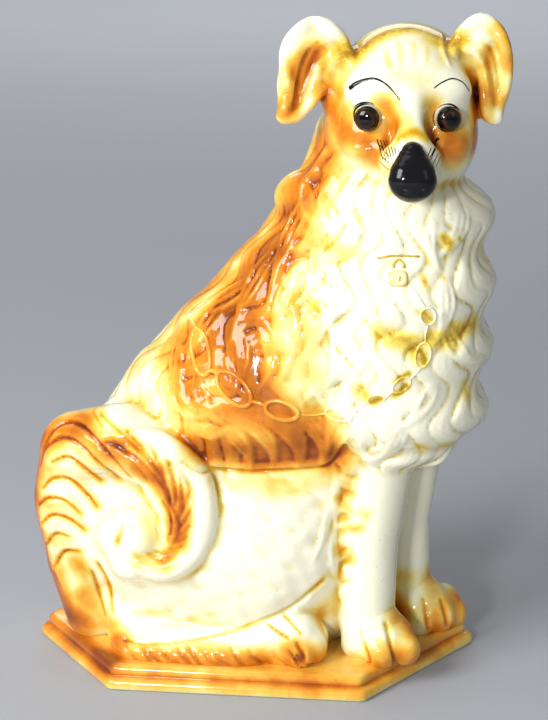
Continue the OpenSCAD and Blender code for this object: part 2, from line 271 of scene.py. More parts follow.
class Clay:
    """A block of distances to the surface that forms are joined to and carved from."""

    def __init__(self, low, high, grain):
        self.grain = grain
        self.low = np.floor(np.array(low) / grain) * grain
        self.count = np.ceil((np.array(high) - self.low) / grain).astype(int)
        self.field = np.full(self.count, FAR, np.float32)

    def region(self, form, margin):
        """The grains round a form, as slices and as their places along each axis."""
        low, high = form.box()
        first = np.clip(((low - margin - self.low) / self.grain).astype(int), 0, self.count)
        last = np.clip(((high + margin - self.low) / self.grain).astype(int) + 2, 0, self.count)
        where = tuple(slice(a, b) for a, b in zip(first, last))
        x, y, z = ((self.low[i] + self.grain * np.arange(first[i], last[i])).astype(np.float32)
                   for i in range(3))
        return where, x[:, None, None], y[None, :, None], z[None, None, :]

    def merge(self, form, blend, sign):
        """Joins a form (sign 1), or carves it away (sign -1), with a fillet as wide as the blend."""
        where, x, y, z = self.region(form, blend + 3 * self.grain)
        new = form.distance(x, y, z)
        old = sign * self.field[where]
        bridge = np.maximum(blend - np.abs(old - new), 0)
        self.field[where] = sign * (np.minimum(old, new) - bridge * bridge / (4 * blend))

    def join(self, form, blend):
        self.merge(form, blend, 1)

    def carve(self, form, blend):
        self.merge(form, blend, -1)

    def sample(self, points):
        """The field at any points, by trilinear interpolation."""
        g = np.clip((points - self.low) / self.grain, 0, self.count - 1.001)
        i = g.astype(int)
        f = (g - i).astype(np.float32)
        total = 0
        for corner in np.ndindex(2, 2, 2):
            share = [f[:, axis] if up else 1 - f[:, axis] for axis, up in enumerate(corner)]
            total = total + share[0] * share[1] * share[2] * self.field[tuple((i + corner).T)]
        return total

    def land(self, points, inward):
        """Moves points from outside along a direction until they meet the clay, and at most by REACH."""
        points = np.asarray(points, float)
        inward = np.broadcast_to(inward, points.shape)
        inward = inward / np.linalg.norm(inward, axis=1)[:, None]
        travelled = np.full(len(points), -REACH)
        for _ in range(120):
            d = self.sample(points + inward * travelled[:, None])
            travelled = np.minimum(travelled + np.maximum(d, 0) * 0.8, REACH)
            if np.all((d < 0.05) | (travelled >= REACH)):
                break
        return points + inward * travelled[:, None]

    def mesh(self):
        grid = openvdb.FloatGrid(FAR)
        grid.copyFromArray(self.field)
        grid.transform = openvdb.createLinearTransform(voxelSize=self.grain)
        points, _, quads = grid.convertToPolygons(isovalue=0.0, adaptivity=0.0)
        return points.astype(float) + self.low, quads


clay = Clay((-128, -92, -8), (128, 88, 330), GRAIN)


def comb(form, height, fade=5.0):
    """Raises the clay by a height over one form's own surface."""
    where, x, y, z = clay.region(form, fade + clay.grain)
    own = form.distance(x, y, z)
    near = np.abs(own) < fade
    x, y, z = (np.broadcast_to(axis, own.shape)[near] for axis in (x, y, z))
    weight = 1 - (own[near] / fade) ** 2
    block = clay.field[where]
    block[near] -= (weight * height(x, y, z)).astype(np.float32)


class Fur:
    """Wavy locks running along an axis, as a height in mm over the surface round it."""

    def __init__(self, at, up, locks, tier, sway, depths, seed, uneven=0.15, flare=0.0):
        self.at = np.array(at, float)
        self.up = np.array(up, float) / np.linalg.norm(up)
        self.side = np.cross((0, 1, 0), self.up)
        self.side /= np.linalg.norm(self.side)
        self.front = -np.cross(self.up, self.side)
        self.locks, self.tier, self.sway, self.depths = locks, tier, sway, depths
        self.start = uneven * np.random.default_rng(seed).uniform(-1, 1, locks)
        self.flare = flare

    def __call__(self, x, y, z):
        d = x - self.at[0], y - self.at[1], z - self.at[2]
        axes = self.up, self.side, self.front
        along, right, front = (sum(d[i] * axis[i] for i in range(3)) for axis in axes)
        turn = np.arctan2(right, front)
        phase = 2 * math.pi * along / self.tier
        strand = self.locks * turn / (2 * math.pi) + self.sway * np.sin(phase + 1.3 * np.sin(3 * turn))
        lock = np.floor(strand)
        inside = strand - lock
        wave, tuft, fine = self.depths
        sideways = np.clip(np.sin(turn), 0, 1) ** 3
        start = self.start[lock.astype(int) % self.locks] * (1 - sideways)
        height = wave * (1 + self.flare * sideways) * np.cos(phase + 2 * math.pi * start)
        height = height + tuft * (np.abs(np.sin(math.pi * inside)) ** 0.6 - 0.7)
        return height + fine * (np.abs(np.sin(3 * math.pi * inside)) - 0.6)


def dapple(x, y, z):
    """Soft, uneven hand-modelled lumps, as a height in mm."""
    size, depth = 4.0, 0.5
    lumps = (np.sin(x / size + 1.7 * np.sin(z / size / 1.9))
             * np.sin(z / size / 1.2 + 1.1 * np.sin(x / size / 2.3)))
    across = np.sin((x + 2 * z + y) / size * 0.9) * np.sin((2 * x - z) / size * 0.8)
    return depth * (lumps + 0.5 * across)


# ---------------------------------------------------------------- strands

class Strands:
    """Thin relief lines gathered as flat drawings, then landed on the clay together and modelled in."""

    def __init__(self):
        self.lines = []

    def add(self, flat, radii, inward=NEAR_INWARD, sink=0.3, in_head=False):
        """Flat is rows of (x, z), for a line that is seen from the side or, on the head, from its front."""
        points = upright(flat)
        if in_head:
            points, inward = np.array([head_point(p) for p in points]), HEAD_INWARD
        radii = np.broadcast_to(np.asarray(radii, float), len(points))
        self.lines.append((points, radii, np.asarray(inward, float), sink))

    def landed(self):
        """The lines on the clay, each let in by its sink, without those that miss the clay."""
        points = np.concatenate([line[0] for line in self.lines])
        inward = np.concatenate([np.broadcast_to(line[2], line[0].shape) for line in self.lines])
        inward = inward / np.linalg.norm(inward, axis=1)[:, None]
        sink = np.concatenate([np.full(len(line[0]), line[3]) for line in self.lines])
        surface = clay.land(points, inward)
        reached = np.linalg.norm(surface - points, axis=1) < REACH - 1
        placed = surface + inward * sink[:, None]
        first = 0
        for flat, radii, _, _ in self.lines:
            here = slice(first, first + len(flat))
            first += len(flat)
            if reached[here].all():
                yield placed[here], radii

    def raise_all(self, blend=0.8):
        for points, radii in list(self.landed()):
            clay.join(Tube(points, radii), blend)

    def incise_all(self, blend=0.6):
        for points, radii in list(self.landed()):
            clay.carve(Tube(points, radii), blend)


def upright(flat):
    """Rows of (x, z) as places in the plane y = 0."""
    flat = np.asarray(flat, float)
    return np.stack([flat[:, 0], np.zeros(len(flat)), flat[:, 1]], axis=1)


def taper(path, thickest, first, last, power=0.6):
    """Radii that swell and thin again along a path. A first of 0 and a last of 1 would be points."""
    return thickest * np.sin(math.pi * np.linspace(first, last, len(path))) ** power


def stretched(values, path):
    """A few values spread evenly over a path's places."""
    return np.interp(np.linspace(0, 1, len(path)), np.linspace(0, 1, len(values)), values)


def curve(points, steps=4):
    """A smooth line through points, by Catmull-Rom."""
    points = np.asarray(points, float)
    ends = np.concatenate([[2 * points[0] - points[1]], points, [2 * points[-1] - points[-2]]])
    t = np.linspace(0, 1, steps, endpoint=False)[:, None]
    rows = []
    for a, b, c, d in zip(ends[:-3], ends[1:-2], ends[2:-1], ends[3:]):
        rows.append(0.5 * (2 * b + (c - a) * t + (2 * a - 5 * b + 4 * c - d) * t ** 2
                           + (3 * b - a - 3 * c + d) * t ** 3))
    return np.concatenate(rows + [points[-1:]])


def lock_lines(x, z, heading, length, bend, strands, gap=3.0):
    """One lock's strands as flat lines that draw together towards the tip."""
    steps = 8
    t = np.linspace(0, 1, steps + 1)
    angle = np.radians(heading + bend * (t[:-1] + t[1:]) / 2)
    strides = np.stack([np.cos(angle), np.sin(angle)], axis=1) * (length / steps)
    path = np.array([x, z]) + np.concatenate([[[0, 0]], np.cumsum(strides, axis=0)])
    angle = np.radians(heading + bend * t)
    across = np.stack([-np.sin(angle), np.cos(angle)], axis=1)
    width = gap * (0.55 + 0.45 * np.sin(math.pi * np.minimum(t * 1.5, 1)) - 0.45 * t ** 2)
    for k in range(strands):
        offset = (k - (strands - 1) / 2) * width
        yield path + across * offset[:, None], taper(path, 1.45, 0.14, 0.94, 0.7)


def add_locks(strands, locks, far=True, **lines):
    for lock in locks:
        for flat, radii in lock_lines(*lock, **lines):
            strands.add(flat, radii)
            if far:
                strands.add(flat, radii, inward=FAR_INWARD)


def spiral(angles, reaches):
    """Flat points round the tail's middle."""
    turn = np.radians(np.asarray(angles, float))
    return np.stack([TAIL_EYE[0] + reaches * np.cos(turn), TAIL_EYE[1] + reaches * np.sin(turn)], axis=1)


# The incised lines, smoothed
TAIL_LINES = [curve(cut) for cut in TAIL_CUTS]
PAW_LINES = [curve(mark) for mark in PAW_MARKS]


# ---------------------------------------------------------------- sculpting

# The torso's skin above this height is a piece of its own, so that neither piece is too heavy
UPPER_FROM = 122

# Which forms each piece of skin follows
GROUPS = {
    "torso": [Run(BACK), Run(MANE), Run(SEAT), Run(BELLY), Run(SHOULDER)],
    "torso_upper": [Run(BACK), Run(MANE), Run(SHOULDER)],
    "haunch_right": [Run(HAUNCH), Run(SKIRT)],
    "haunch_left": [Run(far_side(HAUNCH)), Run(far_side(SKIRT))],
    "chest_ruff": [Run(RUFF)],
    "foreleg_right": [Run(FORELEG_RIGHT)] + [Run(toe) for toe in TOES_RIGHT],
    "foreleg_left": [Run(FORELEG_LEFT)] + [Run(toe) for toe in TOES_LEFT],
    "hind_paw_right": [Run(HIND_PAW)] + [Run(toe) for toe in TOES_HIND],
    "hind_paw_left": [Run(far_side(HIND_PAW))] + [Run(far_side(toe)) for toe in TOES_HIND],
    "tail": [Run(TAIL), Run(TAIL_DISC)],
    "head": [Run(SKULL, True), Run(CHEEKS, True), Run(MUZZLE, True), Run(BRIDGE, True)],
    "ear_right": [Run(EAR_RIGHT, True)],
    "ear_left": [Run(EAR_LEFT, True)],
}


def model_body():
    clay.join(Run(BACK), 10)
    clay.join(Run(MANE), 3)
    clay.join(Run(SEAT), 12)
    clay.join(Run(BELLY), 12)
    clay.join(Run(SHOULDER), 14)
    back_fur = Fur((-10, 0, 110), (110, -8, 200), locks=24, tier=40, sway=0.5, depths=(0.5, 1.3, 0.4), seed=3)
    comb(Run(BACK), back_fur, fade=7)
    clay.join(Run(HAUNCH), 4)
    clay.join(Run(far_side(HAUNCH)), 6)
    comb(Run(HAUNCH), dapple)
    comb(Run(far_side(HAUNCH)), dapple)
    clay.join(Run(RUFF), 7)
    ruff_fur = Fur((72, -22, 225), (0, 0, 1), locks=23, tier=33, sway=0.5, depths=(1.2, 1.1, 0.3), seed=11,
                   uneven=0.22, flare=2.0)
    comb(Run(RUFF), ruff_fur, fade=8)


def model_limbs():
    clay.join(Run(SKIRT), 9)
    clay.join(Run(far_side(SKIRT)), 9)
    for leg, toes in ((FORELEG_RIGHT, TOES_RIGHT), (FORELEG_LEFT, TOES_LEFT), (HIND_PAW, TOES_HIND),
                      (far_side(HIND_PAW), [far_side(toe) for toe in TOES_HIND])):
        clay.join(Run(leg), 4)
        for toe in toes:
            clay.join(Run(toe), 2.6)
    clay.join(Run(LEG_FEATHER), 8)
    clay.join(Run(TAIL_DISC), 8)
    clay.join(Run(TAIL), 4)
    clay.carve(Run(TAIL_HOLLOW), 5)
    clay.join(Run(TAIL_TIP), 3)


def eye_place(node):
    """The middle of a CAD eye, in the head's frame."""
    low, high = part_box(node)
    return to_head(*((np.array(low) + np.array(high)) / 2 / MM - DECK))


def model_head():
    clay.join(Run(SKULL, True), 8)
    clay.join(Run(CHEEKS, True), 8)
    clay.join(Run(MUZZLE, True), 8)
    clay.join(Run(BRIDGE, True), 5)
    for brow in BROWS:
        clay.join(Run([brow], True), 9)
    for node, side in (("eye_right", -1), ("eye_left", 1)):
        x, _, z = eye_place(node)
        clay.carve(Run([((side * 10, -38, -5), (3.5, 6, 9))], True), 5)
        clay.join(Run([((x, -26, z - 15), (10, 9.5, 6))], True), 5)
        clay.carve(Run([((x, -38, z), (6.6, 6.5, 6.6))], True), 1.5)
    clay.join(Run(EAR_ROOT, True), 5)
    clay.join(Run(EAR_RIGHT, True), 3)
    clay.join(Run(EAR_LEFT, True), 3)
    clay.carve(Run(EAR_HOLLOW_RIGHT, True), 3)
    clay.carve(Run(EAR_HOLLOW_LEFT, True), 3)


# Relief on the head, as (x, z) from its front: the rims of the ears with their radii, the hairs inside the
# ears, the curls from the ears down the neck with their thickest radius, and the hairs on the forehead
EAR_RIMS = [([(-27, 22), (-33, 35), (-42, 41), (-51, 39), (-58, 31), (-59, 20), (-57, 8), (-61, -3)],
             (3.2, 3.6, 3.6, 3.4, 3.0, 2.8, 2.6, 2.4)),
            ([(-59, -4), (-52, -2), (-45, 5), (-39, 14), (-36, 24), (-30, 26)],
             (2.4, 2.4, 2.4, 2.4, 2.4, 3.0)),
            ([(21, 28), (27, 38), (35, 43), (43, 38), (48, 26), (48, 12), (44, 2), (44, -4)],
             (3.0, 3.4, 3.4, 3.2, 2.6, 2.4, 2.2, 2.2)),
            ([(44, -5), (39, -3), (37, 6), (36, 18), (33, 28), (27, 30)], (2.2, 2.2, 2.2, 2.4, 2.6, 3.0))]
EAR_HAIRS = [[(-38, 34), (-45, 30), (-50, 20), (-52, 8)], [(-42, 35), (-50, 29), (-54, 18), (-56, 6)],
             [(-34, 30), (-41, 24), (-46, 14), (-49, 6)], [(-38, 26), (-43, 18), (-47, 8)],
             [(36, 36), (42, 29), (45, 18), (45, 6)], [(33, 33), (39, 26), (42, 15), (43, 4)],
             [(31, 29), (36, 22), (39, 10)]]
NECK_CURLS = [([(-44, -8), (-49, -14), (-50, -23), (-57, -30), (-62, -38), (-61, -50), (-54, -58)], 5.0),
              ([(-38, -20), (-43, -30), (-49, -38), (-50, -48), (-44, -54)], 3.6),
              ([(31, -24), (36, -32), (41, -40), (41, -50), (35, -60)], 4.4),
              ([(-36, -34), (-41, -41), (-40, -50), (-33, -52), (-31, -45)], 2.2),
              ([(-30, -46), (-25, -56), (-30, -66), (-38, -66)], 2.2)]
FOREHEAD = [[(-4, 42), (-7, 34), (-5, 26), (-8, 20)], [(2, 43), (1, 34), (4, 27), (2, 20)],
            [(9, 41), (8, 33), (11, 26), (9, 20)], [(-12, 40), (-15, 32), (-14, 25)],
            [(16, 36), (16, 29), (19, 23)], [(-20, 35), (-23, 28), (-22, 22)]]


def model_relief():
    big = Strands()
    for rim, radii in EAR_RIMS:
        path = curve(rim)
        big.add(path, stretched(radii, path), sink=0.8, in_head=True)
    for curl, radius in NECK_CURLS:
        path = curve(curl)
        big.add(path, taper(path, radius, 0.2, 0.9, 0.5), sink=radius * 0.45, in_head=True)
    back_turn = np.arange(RIDGE_TURN[0], RIDGE_TURN[-1] + 1, 6)
    thick = np.interp(back_turn, RIDGE_TURN, RIDGE_THICK)
    big.add(spiral(-back_turn, np.interp(back_turn, RIDGE_TURN, RIDGE_REACH)), thick, sink=thick.max() * 0.3)
    big.add(curve(CAPE_EDGE) + (0, 1.8), 1.6, sink=0.8)
    big.raise_all(blend=2.0)

    fine = Strands()
    add_locks(fine, NECK_LOCKS + SHOULDER_LOCKS)
    add_locks(fine, RUFF_LOCKS, far=False)
    add_locks(fine, LEG_LOCKS, far=False, gap=2.2)
    for hair in EAR_HAIRS:
        path = curve(hair)
        fine.add(path, taper(path, 1.1, 0.15, 0.9, 0.5), sink=0.1, in_head=True)
    for hair in FOREHEAD:
        path = curve(hair)
        fine.add(path, taper(path, 1.4, 0.1, 0.9, 0.5), sink=0.25, in_head=True)
    for path in brush_strands():
        fine.add(path, taper(path, 1.6, 0.15, 0.92))
    fine.raise_all()


def brush_strands():
    """Strands of the tail's outer brush: each runs backwards round it and inwards to the ridge."""
    count = 9
    for k in range(15):
        first = 222 - 11 * k
        angles = np.linspace(first, first - 64 + 1.2 * k, count)
        ridge = np.interp(-angles, [-230, -150, -60, 20], [42, 37, 25, 16])
        yield spiral(angles, np.linspace(1, 0, count) ** 0.8 * (19 - 0.4 * k) + ridge)


def brush_cuts():
    """Strands of the tail's inner brush: each runs round and inwards from the foot of the ridge."""
    inner_reach = [reach - thick for reach, thick in zip(RIDGE_REACH, RIDGE_THICK)]
    count = 7
    for k in range(13):
        first = 112 - 13.5 * k
        angles = np.linspace(first, first - 26 - 6 * math.sin(2.1 * k), count)
        foot = np.interp(-angles, RIDGE_TURN, inner_reach)
        inwards = np.linspace(-1.0, 9 + 2 * math.sin(1.3 * k), count)
        yield spiral(angles, foot - inwards * np.clip(foot / 30, 0.4, 1))


def tick_marks():
    """Short slanted marks in the fringe at the foot of the haunch."""
    for k in range(14):
        x = -62 + 7.0 * k + 1.5 * math.sin(2.3 * k)
        top = 8 + 2.5 * math.sin(1.7 * k)
        yield curve([(x, top), (x + 3, top - 4), (x + 6.5, 1), (x + 8, -2)])


def model_cuts():
    cuts = Strands()
    cuts.add(curve(CAPE_EDGE) - (0, 1.4), 1.2, sink=0.0)
    cuts.add(curve(HAUNCH_EDGE), 1.5, sink=0.0)
    for inward in (NEAR_INWARD, FAR_INWARD):
        for tick in tick_marks():
            cuts.add(tick, 0.9, inward=inward, sink=0.0)
    cuts.add(TAIL_NICK, (0.9, 1.6, 0.9), sink=0.3)
    for path in [*TAIL_LINES, *PAW_LINES, *brush_cuts()]:
        cuts.add(path, taper(path, 1.35, 0.12, 0.94), sink=0.0)
    for crease in TOE_CREASES:
        path = curve(crease)
        cuts.add(path, taper(path, 1.5, 0.2, 0.8), sink=0.2)
    cuts.incise_all()
    below = FLOOR_CUT - clay.low[2] - clay.grain * np.arange(clay.count[2])
    clay.field = np.maximum(clay.field, below[None, None, :].astype(np.float32))


model_body()
model_limbs()
model_head()
model_relief()
model_cuts()


# ---------------------------------------------------------------- skin

def smoothed(values, edges, rounds):
    """Averages values over the mesh's edges, several times."""
    count = len(values)
    weight = np.maximum(np.bincount(edges.ravel(), minlength=count), 1)
    values = values.astype(float)
    for _ in range(rounds):
        for column in range(values.shape[1]):
            v = values[:, column]
            total = sum(np.bincount(edges[:, i], v[edges[:, 1 - i]], count) for i in (0, 1))
            values[:, column] = 0.5 * v + 0.5 * total / weight
    return values


def vertex_normals(points, quads):
    flat = np.cross(points[quads[:, 2]] - points[quads[:, 0]], points[quads[:, 3]] - points[quads[:, 1]])
    total = np.zeros_like(points)
    for corner in range(4):
        for axis in range(3):
            total[:, axis] += np.bincount(quads[:, corner], flat[:, axis], len(points))
    return total / np.maximum(np.linalg.norm(total, axis=1), TINY)[:, None]


def sides_of(quads):
    """The directed edges round every face, and the face that each belongs to."""
    sides = np.concatenate([quads[:, [i, (i + 1) % 4]] for i in range(4)])
    return sides, np.tile(np.arange(len(quads)), 4)


def islands(count, pairs):
    """Numbers each item by the connected group it is in."""
    root = np.arange(count)
    while True:
        ends = root[pairs]
        apart = ends[:, 0] != ends[:, 1]
        if not apart.any():
            return root
        np.minimum.at(root, ends[apart].max(axis=1), ends[apart].min(axis=1))
        while not np.array_equal(root[root], root):
            root = root[root]


def face_pairs(quads):
    """Every two faces that share an edge."""
    sides, owner = sides_of(quads)
    order = np.lexsort((sides.max(axis=1), sides.min(axis=1)))
    low, high = sides.min(axis=1)[order], sides.max(axis=1)[order]
    same = (low[1:] == low[:-1]) & (high[1:] == high[:-1])
    return np.stack([owner[order][:-1][same], owner[order][1:][same]], axis=1)


def label_faces(points, quads, edges):
    """Which casting each face belongs to, in whole patches with smooth borders and no pinched corners."""
    reach = [np.min([form.distance(*points.T) for form in forms], axis=0) for forms in GROUPS.values()]
    reach = smoothed(np.clip(np.stack(reach, axis=1), -20, 20), edges, 8)
    labels = reach[quads].sum(axis=1).argmin(axis=1)
    lower_torso, upper_torso = (list(GROUPS).index(name) for name in ("torso", "torso_upper"))
    torso = np.isin(labels, [lower_torso, upper_torso])
    upper = points[quads, 2].mean(axis=1) > UPPER_FROM
    labels[torso] = np.where(upper[torso], upper_torso, lower_torso)
    return unpinched(quads, without_strays(quads, labels), len(points))


def without_strays(quads, labels):
    """Gives each patch that is cut off from its casting's largest patch to the casting round it."""
    pairs = face_pairs(quads)
    for _ in range(4):
        same = labels[pairs[:, 0]] == labels[pairs[:, 1]]
        group = islands(len(quads), pairs[same])
        sizes = np.bincount(group, minlength=len(quads))
        largest = np.zeros(len(GROUPS), int)
        np.maximum.at(largest, labels, sizes[group])
        stray = sizes[group] < largest[labels]
        if not stray.any():
            break
        votes = np.zeros((len(quads), len(GROUPS)))
        for a, b in (pairs.T, pairs[:, ::-1].T):
            good = ~stray[b]
            np.add.at(votes, (a[good], labels[b[good]]), 1)
        merged = np.zeros((len(quads), len(GROUPS)))
        np.add.at(merged, group, votes)
        labels = np.where(stray & (merged[group].sum(axis=1) > 0), merged[group].argmax(axis=1), labels)
    return labels


def unpinched(quads, labels, count):
    """Gives all the faces round a pinched vertex to the casting that has most of them."""
    for _ in range(12):
        pinched = pinched_vertices(quads, labels, count)
        if not pinched.any():
            break
        votes = np.zeros((count, len(GROUPS)), int)
        for corner in range(4):
            np.add.at(votes, (quads[:, corner], labels), 1)
        best = votes.argmax(axis=1)
        for corner in range(4):
            hit = pinched[quads[:, corner]]
            labels[hit] = best[quads[hit, corner]]
    return labels


def border_sides(quads, labels):
    """The directed edges where a face meets another casting's face, and their face."""
    sides, owner = sides_of(quads)
    key = labels[owner].astype(np.int64)
    span = int(quads.max()) + 1
    forward = (key * span + sides[:, 0]) * span + sides[:, 1]
    backward = (key * span + sides[:, 1]) * span + sides[:, 0]
    border = ~np.isin(forward, backward)
    return sides[border], owner[border]


def pinched_vertices(quads, labels, count):
    """Vertices where one casting's border passes twice."""
    sides, owner = border_sides(quads, labels)
    pinched = np.zeros(count, bool)
    for label in range(len(GROUPS)):
        pinched |= np.bincount(sides[labels[owner] == label, 0], minlength=count) > 1
    return pinched


# ---------------------------------------------------------------- painted colour

# Airbrushed colour: (from, to, radius, softness, strength), in millimetres. Warmth runs from cream at 0
# through yellow and orange to brown at 1, and stain is the ochre on top of it. Places on the head are in its
# own frame.
WARM_ROOT = [((-96, -44, 8), (-68, -68, 2), 11, 8, 0.98), ((-70, -66, 2), (-62, -70, -2), 7, 8, 0.92)]
WARM_PLINTH = [((-116, -14, 0), (-92, -40, 0), 12, 14, 0.82), ((-92, -40, 0), (-72, -66, 0), 12, 12, 0.9)]
WARM_SHOULDER = [((42, -12, 262), (26, -14, 238), 8, 9, 0.66), ((28, -34, 250), (10, -38, 206), 17, 13, 0.78),
                 ((10, -38, 206), (-10, -40, 172), 18, 12, 0.82),
                 ((-6, -45, 168), (2, -54, 142), 22, 13, 0.82), ((6, -54, 138), (28, -60, 120), 17, 12, 0.80),
                 ((-30, -36, 154), (-12, -50, 122), 17, 12, 0.72),
                 ((-36, -34, 150), (-38, -36, 140), 5, 8, 0.97),
                 ((-22, -52, 112), (40, -58, 112), 12, 8, 0.84), ((18, -45, 240), (26, -50, 212), 9, 10, 0.6),
                 ((26, -56, 190), (32, -58, 150), 6, 12, 0.42),
                 ((4, -16, 222), (-34, -10, 176), 12, 13, 0.66),
                 ((-34, -14, 172), (-66, -14, 140), 7, 12, 0.42),
                 ((-44, -40, 132), (-62, -40, 124), 3, 9, 0.4),
                 ((10, -40, 204), (-10, -37, 184), 2, 4, 0.9), ((-14, -52, 101), (42, -58, 104), 1, 3, 0.92),
                 ((-8, -58, 94), (38, -60, 96), 3, 9, 0.45), ((-16, -60, 112), (-12, -60, 100), 3, 8, 0.5),
                 ((38, -50, 214), (56, -56, 208), 3, 7, 0.26), ((18, -52, 191), (36, -58, 184), 3, 8, 0.3),
                 ((40, -56, 130), (46, -58, 108), 3, 8, 0.5)]
WARM_TAIL = [((-98, -42, 6), (-106, -38, 40), 10, 8, 0.90), ((-110, -38, 40), (-112, -38, 80), 10, 7, 0.88),
             ((-112, -38, 80), (-104, -42, 106), 10, 7, 0.86),
             ((-102, -44, 108), (-82, -48, 118), 10, 7, 0.82),
             ((-82, -52, 116), (-62, -60, 110), 9, 7, 0.76), ((-68, -62, 112), (-54, -63, 106), 6, 5, 0.76),
             ((-54, -63, 107), (-43, -66, 99), 7, 5, 0.76), ((-43, -66, 99), (-35, -68, 88), 7, 5, 0.78),
             ((-35, -68, 88), (-31, -69, 77), 6.5, 5, 0.78), ((-31, -69, 77), (-32, -71, 66), 5, 5, 0.82),
             ((-32, -71, 66), (-39, -72, 57), 4, 5, 0.78), ((-40, -72, 57), (-52, -72, 55), 2, 6, 0.5),
             ((-52, -62, 84), (-46, -66, 66), 4, 7, 0.24), ((-88, -49, 46), (-80, -44, 24), 3, 7, 0.5),
             ((-84, -46, 24), (-74, -50, 10), 6, 7, 0.62), ((-104, -50, 96), (-84, -52, 92), 3, 8, 0.46),
             ((-104, -50, 76), (-88, -52, 78), 3, 8, 0.42), ((-104, -50, 56), (-92, -52, 60), 3, 8, 0.42)]
WARM_FOOT = [*WARM_ROOT, ((-66, -70, 0), (-10, -72, 1), 8, 6, 0.80),
             ((-10, -72, 1), (24, -74, 2), 8, 6, 0.80),
             ((26, -70, 4), (40, -58, 3), 9, 6, 0.84), ((39, -58, 14), (38, -52, 20), 2, 6, 0.7),
             ((36, -50, 24), (46, -42, 40), 3, 9, 0.44), ((-60, -62, 9), (42, -58, 44), 0.5, 3, 0.3)]
WARM_NEAR = WARM_SHOULDER + WARM_TAIL + WARM_FOOT
WARM_HAUNCH_LINE = [((-36, -66, 10), (-8, -70, 15), 1, 3, 0.5), ((-8, -70, 15), (25, -66, 31), 1, 3, 0.5),
                    ((25, -66, 31), (41, -58, 45), 1, 3, 0.5)]
WARM_LEGS = [((84, -56, 4), (82, -46, 14), 9, 7, 0.80), ((68, -64, 2), (80, -62, 5), 7, 7, 0.78),
             ((54, -56, 1), (60, -60, 1), 2, 5, 0.62), ((76, -50, 22), (84, -36, 16), 6, 8, 0.6),
             ((96, -14, 6), (106, -2, 6), 11, 8, 0.80), ((90, -18, 8), (90, -8, 24), 7, 9, 0.62),
             ((78, -16, 30), (80, -14, 22), 5, 8, 0.5), ((52, -50, 6), (50, -40, 4), 3, 7, 0.4),
             ((74, -22, 14), (78, -14, 6), 8, 8, 0.95)]
WARM_LEG_TUFTS = [((52, -56, 97), (50, -54, 88), 2.5, 4, 0.52), ((47, -54, 86), (50, -56, 80), 2.5, 4, 0.66),
                  ((56, -58, 79), (60, -58, 78), 1.5, 4, 0.4), ((49, -54, 70), (58, -58, 72), 1.5, 3, 0.6),
                  ((46, -54, 60), (52, -56, 55), 2.0, 4, 0.64), ((45, -52, 48), (48, -54, 42), 1.0, 4, 0.45),
                  ((47, -50, 104), (47, -50, 60), 3.0, 8, 0.25)]
WARM_RUFF_EDGE = [((121, -16, 214), (123, -17, 178), 5, 7, 0.74),
                  ((122, -17, 172), (119, -15, 128), 7, 6, 0.84)]
WARM_HEAD = [((-11, -33, 6), (-9, -38, -3), 6, 6, 0.68), ((-10, -38, -6), (-19, -34, -12), 9, 7, 0.76),
             ((-20, -34, -12), (-30, -27, -8), 8, 7, 0.76), ((-32, -22, -5), (-40, -8, 0), 7, 7, 0.76),
             ((-40, -10, 8), (-38, -10, -22), 7, 8, 0.72), ((-40, -8, 24), (-36, -12, 10), 4, 7, 0.62),
             ((-45, -6, -14), (-50, -6, -42), 10, 9, 0.78), ((11, -35, 4), (13, -36, -8), 5, 5, 0.56),
             ((14, -37, -12), (24, -28, -14), 9, 7, 0.72), ((31, -20, -15), (34, -10, 6), 7, 6, 0.86),
             ((29, -13, 16), (34, -8, 6), 5, 6, 0.80), ((-6, -49, -7), (0, -49, -4), 2.2, 2.5, 0.42),
             ((0, -49, -4), (7, -48, -7), 2.2, 2.5, 0.42), ((-44, -11, 29), (-52, -10, 18), 6.5, 5, 0.68),
             ((-53, -12, 14), (-58, -14, 1), 6, 5, 0.70), ((-40, -10, 22), (-37, -12, 12), 4, 5, 0.64),
             ((46, -8, 38), (51, -8, 20), 6, 6, 0.76), ((38, -11, 28), (39, -12, 8), 4.5, 5, 0.64),
             ((47, -8, 18), (46, -10, 4), 4, 6, 0.5), ((-30, -10, 26), (26, -10, 30), 5, 12, 0.2),
             ((-32, -14, 14), (-34, -14, -4), 4, 9, 0.3), ((-20, -40, -30), (14, -40, -34), 3, 9, 0.14),
             ((-13, -46, -22), (-10, -48, -30), 2, 4, 0.3), ((-20, 24, 26), (20, 24, 26), 10, 14, 0.5)]
